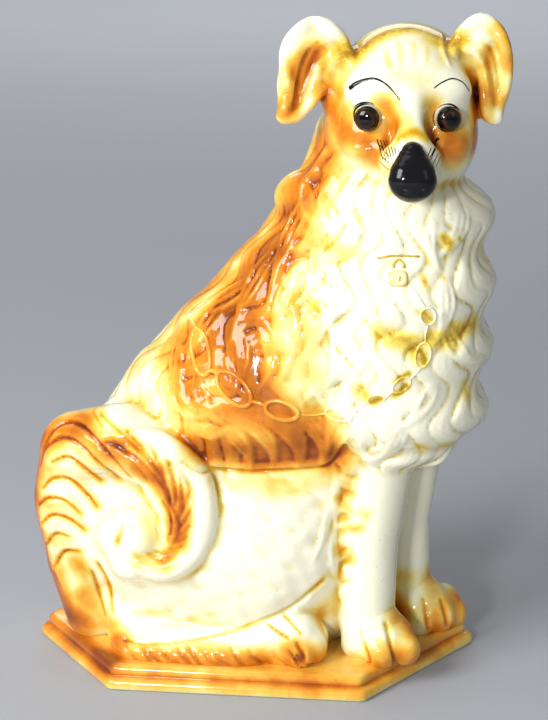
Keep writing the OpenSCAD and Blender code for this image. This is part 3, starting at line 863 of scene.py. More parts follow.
STAIN_NEAR = [((66, -68, 176), (83, -68, 171), 2.5, 6, 0.62), ((80, -67, 171), (86, -67, 164), 3.5, 5, 0.66),
              ((91, -64, 171), (100, -58, 171), 3.5, 6, 0.72), ((100, -58, 173), (111, -45, 176), 3, 6, 0.62),
              ((38, -50, 214), (58, -54, 208), 1, 6, 0.34), ((18, -52, 194), (24, -54, 186), 2, 6, 0.4),
              ((34, -58, 186), (37, -58, 176), 1.5, 5, 0.45), ((66, -62, 210), (84, -62, 212), 0.7, 1.5, 0.8),
              ((87, -66, 186), (90, -66, 182), 2, 2, 0.8), ((86, -67, 167), (88, -67, 162), 2, 2, 0.85),
              ((74, -68, 152), (80, -67, 156), 1.2, 1.6, 0.85),
              ((74, -67, 145), (79, -67, 149), 1.6, 2, 0.85),
              ((63, -67, 141), (67, -67, 143), 1.6, 2, 0.85), ((57, -66, 147), (60, -66, 144), 2.5, 4, 0.5),
              ((96, -55, 220), (99, -54, 216), 2, 2.5, 0.75),
              ((103, -51, 219), (105, -50, 216), 1.0, 1.6, 0.7),
              ((86, -62, 204), (88, -62, 196), 0.8, 1.8, 0.6),
              ((94, -58, 206), (97, -57, 199), 0.6, 1.6, 0.5),
              ((106, -50, 148), (109, -48, 140), 2, 5, 0.5), ((98, -52, 116), (101, -52, 112), 2.5, 4, 0.55),
              ((86, -60, 118), (89, -60, 114), 1.8, 4, 0.5), ((112, -30, 210), (116, -26, 204), 2, 5, 0.45),
              ((-100, -50, 66), (-88, -52, 70), 1.0, 3, 0.4), ((-98, -50, 90), (-86, -52, 84), 1.0, 3, 0.4),
              ((-60, -30, 126), (-46, -36, 119), 2, 8, 0.4), ((-46, -36, 119), (-30, -44, 109), 2, 7, 0.4),
              ((-63, -68, 64), (-61, -68, 72), 1.2, 2, 0.9), ((-54, -68, 66), (-56, -68, 73), 0.7, 2, 0.6),
              ((-50, 10, 162), (-20, 10, 188), 3, 8, 0.3), ((-86, -50, 44), (-82, -48, 38), 2, 5, 0.4)]
STAIN_HEAD = [((-30, -11, 26), (-20, -8, 32), 5, 7, 0.78), ((-20, -7, 34), (0, -6, 38), 4.5, 8, 0.78),
              ((0, -6, 38), (22, -7, 32), 5, 7, 0.78), ((-32, -12, 18), (-33, -12, 8), 2, 6, 0.36),
              ((9, -14, 35), (22, -14, 30), 3.0, 6, 0.42), ((12, -24, 22), (20, -16, 30), 2.0, 5, 0.36),
              ((26, -16, 30), (29, -14, 24), 1.5, 4, 0.5), ((-6, -49, -6), (1, -49, -3), 2.0, 2.5, 0.42),
              ((1, -49, -3), (7, -48, -7), 2.0, 2.5, 0.42), ((-11, -50, -26), (-9, -50, -20), 1.5, 3, 0.35),
              ((-6, -30, 20), (8, -30, 18), 3, 8, 0.2), ((39, -12, 25), (41, -12, 20), 0.7, 1.4, 0.8),
              ((-44, -11, 33), (-38, -10, 28), 0.7, 1.6, 0.6),
              ((-47, -12, 30), (-42, -12, 24), 0.5, 1.4, 0.5),
              *[((-12 + 7 * k, -18, 34), (-10 + 6 * k, -26, 24), 0.6, 2, 0.4) for k in range(4)]]


def cut_strokes(paths, *spray):
    """Strokes along incised lines, landed where they were cut."""
    strokes = []
    for path in paths:
        landed = clay.land(upright(path), NEAR_INWARD)
        strokes += [(a, b, *spray) for a, b in zip(landed[:-1], landed[1:])]
    return strokes


# The higher this is, the less two strokes add up where they overlap
SHARE = 8


def paint(points, strokes):
    """How strongly sprayed strokes colour each point."""
    x, y, z = points.T
    wander = np.sin(x / 7 + 2 * np.sin(z / 11)) * np.sin(z / 6 + y / 9)
    total = np.zeros(len(points))
    for a, b, radius, soft, strength in strokes:
        a, b = np.array(a, float), np.array(b, float)
        margin = radius + 2 * soft
        low, high = np.minimum(a, b) - margin, np.maximum(a, b) + margin
        near = np.flatnonzero(((points > low) & (points < high)).all(axis=1))
        v = b - a
        own = points[near]
        t = np.clip((own - a) @ v / max(v @ v, TINY), 0, 1)
        d = np.linalg.norm(own - a - t[:, None] * v, axis=1) + 2.2 * wander[near] * min(soft / 8, 1)
        level = np.clip((radius + soft - d) / (2 * soft), 0, 1)
        total[near] += (strength * level * level * (3 - 2 * level)) ** SHARE
    return total ** (1 / SHARE)


def head_strokes(strokes):
    return [(head_point(a), head_point(b), *rest) for a, b, *rest in strokes]


def far_strokes(strokes):
    return [(mirror(a), mirror(b), *rest) for a, b, *rest in strokes]


WARM = (WARM_NEAR + far_strokes(WARM_NEAR) + WARM_HAUNCH_LINE + far_strokes(WARM_HAUNCH_LINE) + WARM_LEGS
        + WARM_LEG_TUFTS + WARM_RUFF_EDGE + head_strokes(WARM_HEAD) + cut_strokes(TAIL_LINES, 1.2, 3.6, 0.6))
STAIN = (STAIN_NEAR + head_strokes(STAIN_HEAD) + cut_strokes(TAIL_LINES + PAW_LINES, 0.5, 1.1, 0.62)
         + cut_strokes(brush_cuts(), 0.4, 1.0, 0.34))


def set_values(mesh, **columns):
    """Puts a number on each vertex for every name, for the materials to read."""
    for name, values in columns.items():
        mesh.attributes.new(name, "FLOAT", "POINT").data.foreach_set("value", np.asarray(values, np.float32))


# ---------------------------------------------------------------- glazes

class Nodes:
    """A material being wired, with short ways to add each node."""

    def __init__(self, name):
        self.material = bpy.data.materials.new(name)
        self.material.use_nodes = True
        self.tree = self.material.node_tree
        self.shader = self.tree.nodes["Principled BSDF"]

    def put(self, socket, value):
        if isinstance(value, bpy.types.NodeSocket):
            self.tree.links.new(value, socket)
        else:
            socket.default_value = value

    def value(self, name):
        node = self.tree.nodes.new("ShaderNodeAttribute")
        node.attribute_name = name
        return node.outputs["Fac"]

    def noise(self, scale, detail=3.0):
        place = self.tree.nodes.new("ShaderNodeTexCoord")
        node = self.tree.nodes.new("ShaderNodeTexNoise")
        self.tree.links.new(place.outputs["Object"], node.inputs["Vector"])
        node.inputs["Scale"].default_value = scale
        node.inputs["Detail"].default_value = detail
        node.inputs["Roughness"].default_value = 0.55
        return node.outputs["Fac"]

    def math(self, operation, a, b, clamp=False):
        node = self.tree.nodes.new("ShaderNodeMath")
        node.operation = operation
        node.use_clamp = clamp
        self.put(node.inputs[0], a)
        self.put(node.inputs[1], b)
        return node.outputs[0]

    def times(self, a, b):
        return self.math("MULTIPLY", a, b)

    def span(self, value, low, high, to_low=0.0, to_high=1.0):
        node = self.tree.nodes.new("ShaderNodeMapRange")
        for socket, v in zip(node.inputs, (value, low, high, to_low, to_high)):
            self.put(socket, v)
        return node.outputs[0]

    def mix(self, amount, a, b, mode="MIX"):
        """Mixes colours. Their sockets are the mix node's inputs 6 and 7 and its output 2."""
        node = self.tree.nodes.new("ShaderNodeMix")
        node.data_type = "RGBA"
        node.blend_type = mode
        self.put(node.inputs[0], amount)
        self.put(node.inputs[6], a)
        self.put(node.inputs[7], b)
        return node.outputs[2]

    def ramp(self, value, stops):
        node = self.tree.nodes.new("ShaderNodeValToRGB")
        self.put(node.inputs[0], value)
        elements = node.color_ramp.elements
        while len(elements) < len(stops):
            elements.new(0.5)
        for element, (place, colour) in zip(elements, stops):
            element.position = place
            element.color = (*colour, 1)
        return node.outputs[0]

    def bump(self, height, distance, strength):
        node = self.tree.nodes.new("ShaderNodeBump")
        self.put(node.inputs["Height"], height)
        node.inputs["Distance"].default_value = distance
        node.inputs["Strength"].default_value = strength
        self.put(self.shader.inputs["Normal"], node.outputs[0])

    def gloss(self, colour, roughness, coat, coat_roughness=0.03):
        self.put(self.shader.inputs["Base Color"], colour)
        self.put(self.shader.inputs["Roughness"], roughness)
        self.shader.inputs["IOR"].default_value = 1.5
        self.shader.inputs["Specular IOR Level"].default_value = 0.1
        self.shader.inputs["Coat Weight"].default_value = coat
        self.shader.inputs["Coat Roughness"].default_value = coat_roughness
        self.shader.inputs["Coat IOR"].default_value = 1.5


# The glaze's colours, from the palest to the darkest, then where it pools, and its specks
CREAM = (0.93, 0.91, 0.70)
PALE = (0.90, 0.76, 0.27)
YELLOW = (0.85, 0.47, 0.06)
ORANGE = (0.66, 0.205, 0.012)
BROWN = (0.24, 0.05, 0.005)
POOLED = (0.80, 0.64, 0.20)
SPECK = (0.10, 0.045, 0.012)
# What the ochre stain does to the colour below it, from none of it to all of it
OCHRE = ((0.0, (1, 1, 1)), (0.3, (0.93, 0.76, 0.20)), (0.6, (0.62, 0.40, 0.05)), (1.0, (0.24, 0.13, 0.02)))


def painted_glaze():
    """Cream earthenware glaze, with the sprayed colour and the darker glaze that pools in the modelling."""
    n = Nodes("painted_glaze")
    hollow = n.value("hollow")
    pool = n.span(hollow, -0.03, -0.42)
    crest = n.span(hollow, 0.08, 0.7)
    cloud = n.noise(70, 4)
    grit = n.noise(420, 3)
    painted = n.value("warm")
    edge = n.times(painted, n.math("SUBTRACT", 1.0, painted))
    warm = n.math("ADD", painted, n.times(edge, n.span(cloud, 0.3, 0.7, -0.6, 0.6)))
    warm = n.math("ADD", warm, n.times(n.times(pool, painted), 0.28))
    warm = n.math("SUBTRACT", warm, n.times(crest, n.times(painted, 0.42)), clamp=True)
    colour = n.ramp(warm, ((0.0, CREAM), (0.2, PALE), (0.45, YELLOW), (0.72, ORANGE), (1.0, BROWN)))
    colour = n.mix(n.times(pool, 0.9), colour, (*POOLED, 1), "MULTIPLY")
    stain = n.times(n.value("stain"), n.span(grit, 0.35, 0.62, 0.75, 1.15))
    stain = n.math("ADD", stain, n.times(n.times(pool, n.span(cloud, 0.45, 0.7)), 0.42), clamp=True)
    colour = n.mix(1.0, colour, n.ramp(stain, OCHRE), "MULTIPLY")
    specks = n.span(n.noise(950, 1), 0.74, 0.78)
    colour = n.mix(n.times(specks, 0.5), colour, (*SPECK, 1))
    n.gloss(colour, n.span(cloud, 0.3, 0.7, 0.18, 0.28), coat=0.7, coat_roughness=0.07)
    n.bump(n.math("ADD", n.noise(160, 2), n.times(n.noise(900, 2), 0.08)), 0.0006, 0.35)
    return n.material


def enamel(name, colour):
    n = Nodes(name)
    lighter = (*(c * 1.6 + 0.002 for c in colour), 1)
    n.gloss(n.mix(n.noise(300, 3), (*colour, 1), lighter), n.span(n.noise(120), 0, 1, 0.1, 0.2), coat=0.5)
    n.bump(n.noise(260, 2), 0.0004, 0.4)
    return n.material


def eye_material():
    """A black pupil and a streaked brown iris under clear glass."""
    n = Nodes("eye_glass_brown")
    # This runs from 0 at the middle to 1 at the edge
    rim = n.value("rim")
    streak = n.span(n.noise(1400, 4), 0.3, 0.7, 0.5, 1.5)
    iris = n.ramp(n.math("ADD", rim, n.times(n.math("SUBTRACT", streak, 1.0), 0.10)),
                  ((0.0, (0.002, 0.0015, 0.001)), (0.46, (0.003, 0.002, 0.0015)),
                   (0.56, (0.018, 0.007, 0.003)), (0.74, (0.040, 0.015, 0.005)),
                   (0.86, (0.008, 0.004, 0.002)), (1.0, (0.002, 0.0015, 0.001))))
    n.gloss(iris, n.span(streak, 0.5, 1.5, 0.03, 0.06), coat=0.6, coat_roughness=0.01)
    return n.material


def plaster_material():
    n = Nodes("plaster")
    powder = n.noise(500, 5)
    colour = n.ramp(powder, ((0.2, (0.62, 0.58, 0.50)), (0.8, (0.80, 0.77, 0.70))))
    n.put(n.shader.inputs["Base Color"], colour)
    n.put(n.shader.inputs["Roughness"], n.span(powder, 0, 1, 0.75, 0.95))
    n.bump(powder, 0.0008, 0.8)
    return n.material


GLAZE = painted_glaze()
BLACK = enamel("black_enamel", (0.004, 0.004, 0.005))
EYE = eye_material()
PLASTER = plaster_material()


# ---------------------------------------------------------------- pieces of the body

def add_piece(name, points, faces, material, slot, nodes=()):
    """A closed mesh, given in millimetres from the deck's middle, riding with the body."""
    mesh = bpy.data.meshes.new(name)
    places = (np.asarray(points) + DECK) * MM
    mesh.from_pydata(places.tolist(), [], [list(map(int, face)) for face in faces])
    mesh.polygons.foreach_set("use_smooth", [True] * len(mesh.polygons))
    mesh.materials.append(material)
    piece = bpy.data.objects.new(name, mesh)
    bpy.context.scene.collection.objects.link(piece)
    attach(piece, "root")
    if nodes:
        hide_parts(*nodes)
    return piece


def add_castings():
    """Splits the clay's surface into closed skins: an outer face, an inner one, and a rim at the seam."""
    points, quads = clay.mesh()
    edges = np.unique(np.sort(sides_of(quads)[0], axis=1), axis=0)
    linked = islands(len(points), edges)
    main = np.bincount(linked).argmax()
    quads = quads[linked[quads[:, 0]] == main]
    points = smoothed(points, edges, 2)
    normals = vertex_normals(points, quads)
    labels = label_faces(points, quads, edges)
    calm = smoothed(points, edges, 14)
    hollow = np.einsum("ij,ij->i", points - calm, normals)
    inner = smoothed(points, edges, 30)
    inner = inner - WALL * vertex_normals(inner, quads)
    warm, stain = paint(points, WARM), paint(points, STAIN)
    for label, node in enumerate(GROUPS):
        skin = quads[labels == label]
        sides, _ = border_sides(skin, np.zeros(len(skin), int))
        used, skin = np.unique(skin, return_inverse=True)
        skin = skin.reshape(-1, 4)
        rim = np.searchsorted(used, sides)
        count = len(used)
        rims = np.stack([rim[:, 1], rim[:, 0], rim[:, 0] + count, rim[:, 1] + count], axis=1)
        faces = np.concatenate([skin, skin[:, ::-1] + count, rims])
        slot = "coat_orange" if node in ("tail", "ear_right", "ear_left") else "coat_cream"
        piece = add_piece(node + "_glazed", np.concatenate([points[used], inner[used]]), faces, GLAZE, slot,
                          [node.removesuffix("_upper")])
        columns = {"warm": warm, "stain": stain, "hollow": hollow}
        set_values(piece.data, **{name: np.pad(column[used], (0, count)) for name, column in columns.items()})
        both_ways = np.concatenate([normals[used], -normals[used]])
        piece.data.normals_split_custom_set_from_vertices(both_ways.tolist())


add_castings()


# ---------------------------------------------------------------- small pieces

def tube_mesh(path, radii, normals, around=10, closed=False, flat=1.0):
    """A tube along a path, capped unless the path is closed; flat squashes it along the normals given."""
    path = np.asarray(path, float)
    radii = np.broadcast_to(np.asarray(radii, float), len(path))
    ahead = np.roll(path, -1, 0) - np.roll(path, 1, 0)
    if not closed:
        ahead[0], ahead[-1] = path[1] - path[0], path[-1] - path[-2]
    ahead /= np.linalg.norm(ahead, axis=1)[:, None]
    up = normals - np.einsum("ij,ij->i", normals, ahead)[:, None] * ahead
    up /= np.linalg.norm(up, axis=1)[:, None]
    side = np.cross(up, ahead)
    turn = np.linspace(0, 2 * math.pi, around, endpoint=False)
    outwards = np.cos(turn)[None, :, None] * side[:, None] + flat * np.sin(turn)[None, :, None] * up[:, None]
    points = (path[:, None] + radii[:, None, None] * outwards).reshape(-1, 3)
    if closed:
        return points, ring_faces(len(path), around, closed=True)
    return points, ring_faces(len(path), around) + caps(len(path), around)


def ring_faces(rings, around, closed=False):
    """The faces between one ring of vertices and the next, and from the last back to the first if closed."""
    faces = []
    for i in range(rings if closed else rings - 1):
        j = (i + 1) % rings
        for k in range(around):
            m = (k + 1) % around
            faces.append((i * around + k, i * around + m, j * around + m, j * around + k))
    return faces


def caps(rings, around):
    """The faces that close the first ring and the last."""
    return [tuple(range(around))[::-1], tuple(range((rings - 1) * around, rings * around))]


def joined(parts):
    """Several meshes as one."""
    points = np.concatenate([own for own, _ in parts])
    faces = []
    first = 0
    for own, own_faces in parts:
        faces += [tuple(v + first for v in face) for face in own_faces]
        first += len(own)
    return points, faces


def clay_normals(points):
    """Which way is out of the clay at each point."""
    step = 1.5
    slope = [clay.sample(points + offset) - clay.sample(points - offset) for offset in np.eye(3) * step]
    slope = np.stack(slope, axis=1)
    return slope / np.linalg.norm(slope, axis=1)[:, None]


def painted_lines(name, lines):
    """Brushed lines of enamel lying on the glaze: rows of (x, z) on the head, with a width at each."""
    parts = []
    for places, widths in lines:
        path = curve(places, 5)
        start = np.array([head_point((x, 0, z)) for x, z in path])
        landed = clay.land(start, HEAD_INWARD)
        parts.append(tube_mesh(landed, stretched(widths, path), clay_normals(landed), around=8, flat=0.35))
    add_piece(name, *joined(parts), BLACK, "nose_black")


def round_eye(node, reach, first, last):
    """Places round an eye at a distance from its middle, from one angle to another."""
    x, _, z = eye_place(node)
    turn = np.radians(np.linspace(first, last, 8))
    return np.stack([x + reach * np.cos(turn), z + reach * np.sin(turn)], axis=1)


# Enamel lines on the head, as places (x, z) and widths: brows and lids, then whiskers
BROW_LINES = [([(-28.5, 13), (-25.5, 15.5), (-21, 17.5), (-16, 18), (-10.5, 15), (-5, 9)],
               (1.2, 1.15, 0.8, 0.55, 0.4, 0.25)),
              ([(11, 14), (15, 16.5), (20, 18), (25, 16), (28.5, 11.5)], (0.3, 0.35, 0.4, 0.35, 0.25)),
              (round_eye("eye_right", 6.1, -150, 205), (0.5, 0.45, 0.35, 0.5, 0.6, 0.45)),
              (round_eye("eye_right", 7.0, 60, 150), (0.2, 0.35, 0.4, 0.35, 0.2)),
              (round_eye("eye_left", 6.2, -170, 180), (0.4, 0.5, 0.35, 0.5, 0.45)),
              (round_eye("eye_left", 7.0, 150, 215), (0.2, 0.3, 0.3, 0.2))]
WHISKERS = [*[([(-15.5 + 1.5 * k, -9.5 - 0.3 * k), (-13.0 + 1.1 * k, -18 + 0.9 * k)], (0.3, 0.22))
              for k in range(7)],
            *[([(-14.5, -12 - 3.4 * k), (-10.5, -15 - 3.2 * k)], (0.25, 0.2)) for k in range(3)],
            ([(13.5, -9.0), (10.5, -12.5), (8.5, -15)], (0.8, 0.6, 0.2)),
            *[([(9 + 1.6 * k, -11 - 1.7 * k), (6.5 + 1.6 * k, -16 - 1.4 * k)], (0.25, 0.2))
              for k in range(4)]]


def add_nose():
    """The nose has clay of its own, with a finer grain."""
    places = [head_point(centre) for centre, _ in NOSE]
    margin = 18
    own = Clay(np.min(places, axis=0) - margin, np.max(places, axis=0) + margin, NOSE_GRAIN)
    own.join(Run(NOSE, True), 4)
    for side in (-1, 1):
        own.join(Run([((side * 4.5, -60, -24), (4.6, 4.6, 6))], True), 6)
        own.carve(Run([((side * 4.2, -66.5, -29), (1.5, 2.4, 1.1))], True), 2)
    add_piece("nose_enamelled", *own.mesh(), BLACK, "nose_black", ["nose"])


# The glass eye: how far each turns outwards, the dome's radius and depth, and how finely it is made
EYE_SPLAY = math.radians(16)
EYE_RADIUS = 5.3
EYE_DEPTH = 2.5
EYE_RINGS = 12
EYE_AROUND = 40


def add_eye(node):
    """A flattened glass dome on the CAD eye's place, with a narrow dark rim lapping on to the lid."""
    low, high = (np.array(corner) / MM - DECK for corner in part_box(node))
    middle = (low + high) / 2
    splay = math.copysign(EYE_SPLAY, to_head(*middle)[0])
    toward = HEAD_TURN + splay
    out = np.array([math.sin(toward), -math.cos(toward), 0.0])
    side = np.array([math.cos(toward), math.sin(toward), 0.0])
    front = middle + out * (np.abs(high - low) @ np.abs(out)) / 2
    turn = np.linspace(0, 2 * math.pi, EYE_AROUND, endpoint=False)
    circle = np.outer(np.cos(turn), side) + np.outer(np.sin(turn), (0, 0, 1))
    bend = np.linspace(0, math.pi / 2, EYE_RINGS + 1)[1:]
    rings = [front + circle * EYE_RADIUS * math.sin(b) - out * EYE_DEPTH * (1 - math.cos(b)) for b in bend]
    edge = rings[-1] - front
    rings += [front + edge * 1.14 - out * 0.2, front + edge * 1.10 - out * 3]
    points = np.concatenate([*rings[::-1], [front]])
    count = len(rings)
    tip = count * EYE_AROUND
    inmost = tip - EYE_AROUND
    faces = ring_faces(count, EYE_AROUND) + caps(count, EYE_AROUND)[:1]
    faces += [(inmost + k, inmost + (k + 1) % EYE_AROUND, tip) for k in range(EYE_AROUND)]
    piece = add_piece(node + "_glass", points, faces, EYE, "eye_glass", [node])
    rim = [1.0, 1.0, *np.sin(bend)[::-1]]
    set_values(piece.data, rim=np.append(np.repeat(rim, EYE_AROUND), 0.0))


# The relief chain: links as (x, z, half length, half width, tilt in degrees) and bars between them
LINKS = [(89, 184, 4.5, 3.6, 100), (87, 165, 6.0, 3.6, 80), (77, 150, 5.0, 3.2, 40), (65, 142, 4.2, 2.8, 15),
         (47, 133, 6.7, 3.4, -4), (19, 134, 8.4, 4.6, -14), (-5, 143, 10.5, 6.0, -38),
         (-23, 157, 10.5, 4.8, -75)]
BARS = [[(80, 199), (84, 194), (88, 188)], [(89, 180), (88, 175), (88, 171)],
        [(86, 159), (83, 155), (81, 153)], [(73, 147), (71, 145), (69, 143)],
        [(61, 141), (57, 137), (53, 134)], [(40.5, 132.5), (34, 131.5), (27, 132.5)],
        [(11.5, 136), (7, 137.5), (3, 138)], [(-13, 149), (-17, 150), (-20, 148)],
        [(-26, 167), (-28.5, 169), (-31, 171)]]
# The links and bars with x below this are in the shoulder's heavier wire, and the last two of each are on the
# far side too
HEAVY_BELOW = 40
LINK_WIRE = 0.7
BAR_WIRE = 0.55
HEAVY_WIRE = 1.25


def relief_wire(flat, radii, closed=False, inward=NEAR_INWARD):
    """A wire that lies on the clay along a flat line, a little smoother than the clay is."""
    landed = clay.land(upright(flat), inward)
    between = (np.roll(landed, 1, 0) + np.roll(landed, -1, 0)) / 2
    if not closed:
        between[0], between[-1] = landed[0], landed[-1]
    landed = landed + (between - landed) * 0.7
    return tube_mesh(landed, radii, clay_normals(landed), closed=closed)


def add_chain():
    parts = []
    turn = np.linspace(0, 2 * math.pi, 28, endpoint=False)
    for inward, links, bars in ((NEAR_INWARD, LINKS, BARS), (FAR_INWARD, LINKS[-2:], BARS[-2:])):
        for x, z, long, wide, tilt in links:
            c, s = math.cos(math.radians(tilt)), math.sin(math.radians(tilt))
            flat = np.stack([x + long * np.cos(turn) * c - wide * np.sin(turn) * s,
                             z + long * np.cos(turn) * s + wide * np.sin(turn) * c], axis=1)
            wire = HEAVY_WIRE if x < HEAVY_BELOW else LINK_WIRE
            parts.append(relief_wire(flat, wire, closed=True, inward=inward))
        for bar in bars:
            wire = HEAVY_WIRE if bar[0][0] < HEAVY_BELOW else BAR_WIRE
            parts.append(relief_wire(curve(bar, 5), wire, inward=inward))
    points, faces = joined(parts)
    piece = add_piece("chain_relief", points, faces, GLAZE, "chain_relief", ["chain"])
    set_values(piece.data, warm=np.clip(paint(points, WARM) - 0.12, 0, 1), stain=0.9 * paint(points, STAIN),
               hollow=np.full(len(points), 0.1))


# Where the padlock hangs, as (x, z)
LOCK_AT = (74.5, 202.0)


def add_padlock():
    """A small rounded lock with its shackle, a keyhole, and a scrap of collar, all low relief."""
    x, z = LOCK_AT
    at = clay.land(upright([LOCK_AT]), NEAR_INWARD)[0]
    out = clay_normals(at[None])[0]
    side = np.cross((0, 0, 1), out)
    side /= np.linalg.norm(side)
    up = np.cross(out, side)
    turn = np.linspace(0, 2 * math.pi, 32, endpoint=False)
    squareness = 0.55
    wide = np.sign(np.cos(turn)) * np.abs(np.cos(turn)) ** squareness * 4.6
    tall = np.sign(np.sin(turn)) * np.abs(np.sin(turn)) ** squareness * 4.0
    outline = wide[:, None] * side + tall[:, None] * up
    steepness = np.linspace(0, math.pi / 2, 9)
    shrink = np.append(np.cos(steepness[:-1]) ** 0.35, 0.12)
    rings = [at + outline * own + out * (1.6 * math.sin(t) - 0.4) for own, t in zip(shrink, steepness)]
    rings = [rings[0] - out * 2, *rings]
    body = np.concatenate(rings), ring_faces(len(rings), len(turn)) + caps(len(rings), len(turn))
    arch = [(x + 2.6 * math.cos(a), z + 4.5 + 3.4 * math.sin(a)) for a in np.linspace(0, math.pi, 12)]
    collar = curve([(64, 210.5), (72, 212), (84, 211.5)], 6)
    keyhole = at + out * 1.3
    slit = tube_mesh(np.array([keyhole + up * 0.9, keyhole - up * 1.4]), (0.9, 0.5), np.stack([out, out]))
    points, faces = joined([body, relief_wire(arch, 0.8), relief_wire(collar, BAR_WIRE), slit])
    piece = add_piece("padlock_relief", points, faces, GLAZE, "chain_relief", ["padlock"])
    edge = np.linalg.norm((points - at) - np.outer((points - at) @ out, out), axis=1)
    set_values(piece.data, warm=np.full(len(points), 0.12), stain=np.clip((edge - 3.4) / 3, 0.05, 0.55),
               hollow=np.full(len(points), 0.1))


# The plinth's side, as (inset from the outline, height above the floor), from the recess round to the deck
PLINTH_SIDE = [(8.0, 2.0), (8.0, 0.7), (7.4, 0.0), (1.6, 0.0), (0.5, 0.5), (0.0, 1.6), (0.0, 3.4),
               (0.5, 4.9), (1.6, 5.9), (3.0, 6.3), (3.6, 6.6), (3.7, 7.2), (3.5, 7.8), (3.5, 9.6),
               (4.0, 10.9), (5.0, 11.7), (6.4, 12.0)]
# The long sides' length as a share of the plinth's, and how far its points and its front edge are out of true
STRAIGHT_SHARE = 129 / 232
LEFT_POINT_OUT = 13
RIGHT_POINT_OUT = 3
FRONT_SHIFT = 3
# How many points a corner's arc has, and how many steps the way to the next point is then cut into, round all
# six corners
ARC_POINTS = 7
OUTLINE_STEPS = ([1] * (ARC_POINTS - 1) + [30]) * 6
VENT_AT = np.array([-30.0, 0.0])
VENT_RADIUS = 6.0
# Half the plinth's length, by which its colour fades from left to right
FADE_LENGTH = 116


def plinth_outline(inset, corner=5.0):
    """A rounded six-sided outline, a little out of true, with equal numbers of points at every inset."""
    half_x, half_y = PLINTH_SIZE[:2] / 2
    straight = STRAIGHT_SHARE * half_x
    corners = np.array([(half_x, -RIGHT_POINT_OUT), (straight, half_y), (-straight, half_y),
                        (-half_x, -LEFT_POINT_OUT), (-straight - FRONT_SHIFT, -half_y),
                        (straight - FRONT_SHIFT, -half_y - FRONT_RIGHT_OUT)])
    along = np.roll(corners, -1, axis=0) - corners
    facing = np.arctan2(-along[:, 0], along[:, 1])
    ring = []
    for place, before, after in zip(corners, np.roll(facing, 1), facing):
        spread = (after - before) % (2 * math.pi)
        middle = before + spread / 2
        inwards = -np.array([math.cos(middle), math.sin(middle)])
        centre = place + (corner + inset) / math.cos(spread / 2) * inwards
        arc = np.linspace(before, before + spread, ARC_POINTS)
        ring += [centre + corner * np.array([math.cos(a), math.sin(a)]) for a in arc]
    closed = np.array([*ring, ring[0]])
    return np.concatenate([a + (b - a) * np.linspace(0, 1, steps, endpoint=False)[:, None]
                           for a, b, steps in zip(closed[:-1], closed[1:], OUTLINE_STEPS)])


def add_plinth():
    """Rings from the vent out over the underside, up the side, and in over the deck back to the vent."""
    height = PLINTH_HIGH[2] - PLINTH_LOW[2]
    outer = plinth_outline(0)
    turn = np.arctan2(*(outer - VENT_AT).T[::-1])
    vent = VENT_AT + VENT_RADIUS * np.stack([np.cos(turn), np.sin(turn)], axis=1)
    (recess_inset, recess), (deck_inset, _) = PLINTH_SIDE[0], PLINTH_SIDE[-1]
    under = plinth_outline(recess_inset)
    rings = [(vent + (under - vent) * t, recess) for t in (0, 0.4, 0.8)]
    rings += [(plinth_outline(inset), z) for inset, z in PLINTH_SIDE]
    deck = plinth_outline(deck_inset)
    rings += [(deck + (vent - deck) * t, height) for t in (0.03, 0.08, 0.15, 0.25, 0.4, 0.6, 0.8, 1.0)]
    count = len(outer)
    points = np.concatenate([np.column_stack([ring, np.full(count, z - height)]) for ring, z in rings])
    x, y = points[:, 0].copy(), points[:, 1].copy()
    wobble = 0.22 * np.sin(x / 13 + y / 17) * np.sin(x / 29 - y / 11)
    upper = np.clip((points[:, 2] + height) / height, 0, 1)
    points[:, 2] += wobble * np.where(upper > 0.9, 1, 0)
    points[:, :2] *= (1 - 0.0016 * upper * (1 + np.sin(x / 9) * np.sin(y / 7)))[:, None]
    faces = ring_faces(len(rings), count, closed=True)
    piece = add_piece("plinth_glazed", points, faces, GLAZE, "plinth_glaze", ["plinth"])
    x, y = points[:, 0], points[:, 1]
    up = points[:, 2] + height
    warm = np.interp(up, (0, 0.8, 2.0, 4.5, 6.3, 7.2, 9.0, 11.5, 12),
                     (0.02, 0.12, 0.40, 0.48, 0.58, 0.66, 0.56, 0.50, 0.45))
    warm = warm + 0.06 * np.sin(x / 21) * np.sin(y / 13 + 1) - 0.05 * x / FADE_LENGTH
    warm = np.maximum(warm, paint(points, WARM_ROOT + WARM_PLINTH))
    hollow = np.interp(up, (5.6, 6.6, 7.2, 8.2), (0.0, -0.25, -0.25, 0.0))
    unglazed = (up < 2.5) & (np.abs(x) + np.abs(y) < 60)
    set_values(piece.data, warm=np.where(unglazed, 0.0, warm), stain=np.zeros(len(points)), hollow=hollow)


add_nose()
add_eye("eye_right")
add_eye("eye_left")
painted_lines("brows_and_lids", BROW_LINES)
painted_lines("whisker_ticks", WHISKERS)
add_chain()
add_padlock()
add_plinth()
for cad_name in ("eye_plaster_right", "eye_plaster_left"):
    for slot in bpy.data.objects[cad_name].material_slots:
        slot.material = PLASTER


# ---------------------------------------------------------------- floor, light and camera

def add_stage():
    bpy.ops.mesh.primitive_plane_add(size=8, location=(0, 0, 0))
    floor = bpy.context.object
    floor.name = "floor"
    n = Nodes("floor_paper")
    grey = n.mix(n.noise(2.5), (0.37, 0.385, 0.42, 1), (0.40, 0.415, 0.45, 1))
    n.put(n.shader.inputs["Base Color"], grey)
    n.shader.inputs["Roughness"].default_value = 0.85
    floor.data.materials.append(n.material)


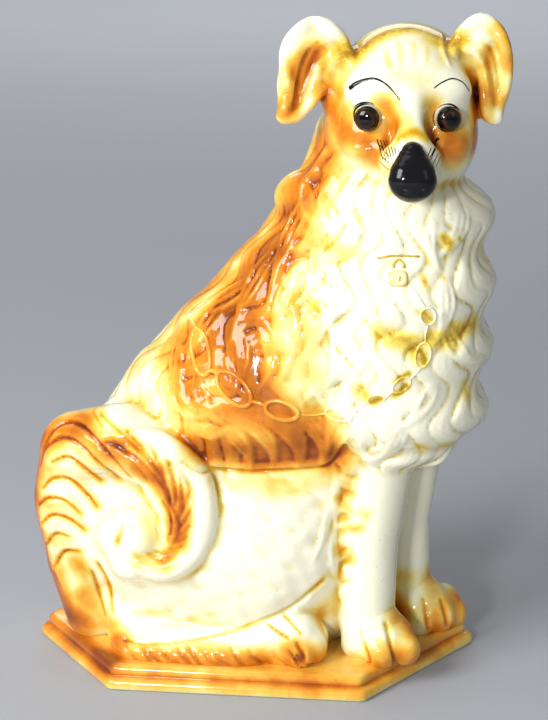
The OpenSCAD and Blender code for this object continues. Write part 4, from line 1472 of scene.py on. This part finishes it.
def area_light(name, place, target, size, power):
    light = bpy.data.lights.new(name, "AREA")
    light.shape = "RECTANGLE"
    light.size, light.size_y = size
    light.energy = power
    lamp = bpy.data.objects.new(name, light)
    lamp.location = place
    lamp.rotation_euler = (Vector(target) - Vector(place)).to_track_quat("-Z", "Y").to_euler()
    bpy.context.scene.collection.objects.link(lamp)


# The camera, fitted to the photograph: in metres, millimetres of lens and radians
CAMERA_DISTANCE = 1.0
CAMERA_HEIGHT = 0.449
CAMERA_TURN = math.radians(5.5)
CAMERA_PITCH = math.radians(16.5)
CAMERA_ASIDE = 0.009
CAMERA_LENS = 100.9
CAMERA_SENSOR = 36


def add_camera():
    camera = bpy.data.cameras.new("camera")
    camera.lens = CAMERA_LENS
    camera.sensor_width = CAMERA_SENSOR
    eye = bpy.data.objects.new("camera", camera)
    x, y, _ = DECK * MM
    eye.location = (x + CAMERA_DISTANCE * math.sin(CAMERA_TURN) + CAMERA_ASIDE,
                    y - CAMERA_DISTANCE * math.cos(CAMERA_TURN), CAMERA_HEIGHT)
    eye.rotation_euler = (math.pi / 2 - CAMERA_PITCH, 0, CAMERA_TURN)
    bpy.context.scene.collection.objects.link(eye)
    bpy.context.scene.camera = eye


add_stage()
area_light("key", (-1.1, -1.1, 1.1), (0, 0, 0.15), (0.9, 0.9), 31)
area_light("fill", (1.2, -1.0, 0.9), (0, 0, 0.15), (0.5, 0.9), 1)
area_light("front", (-0.35, -1.5, 0.6), (0, 0, 0.12), (0.2, 0.2), 12)
area_light("top", (-0.5, 0.0, 1.5), (0, 0, 0.15), (0.8, 0.8), 2)
area_light("backdrop", (-0.2, 3.0, 1.8), (-0.2, 3.0, 0), (3.0, 2), 50)
world = bpy.data.worlds.new("world")
world.use_nodes = True
sky = world.node_tree.nodes["Background"]
sky.inputs["Color"].default_value = (0.8, 0.82, 0.86, 1)
sky.inputs["Strength"].default_value = 0.26
bpy.context.scene.world = world
bpy.context.scene.view_settings.view_transform = "Standard"
add_camera()
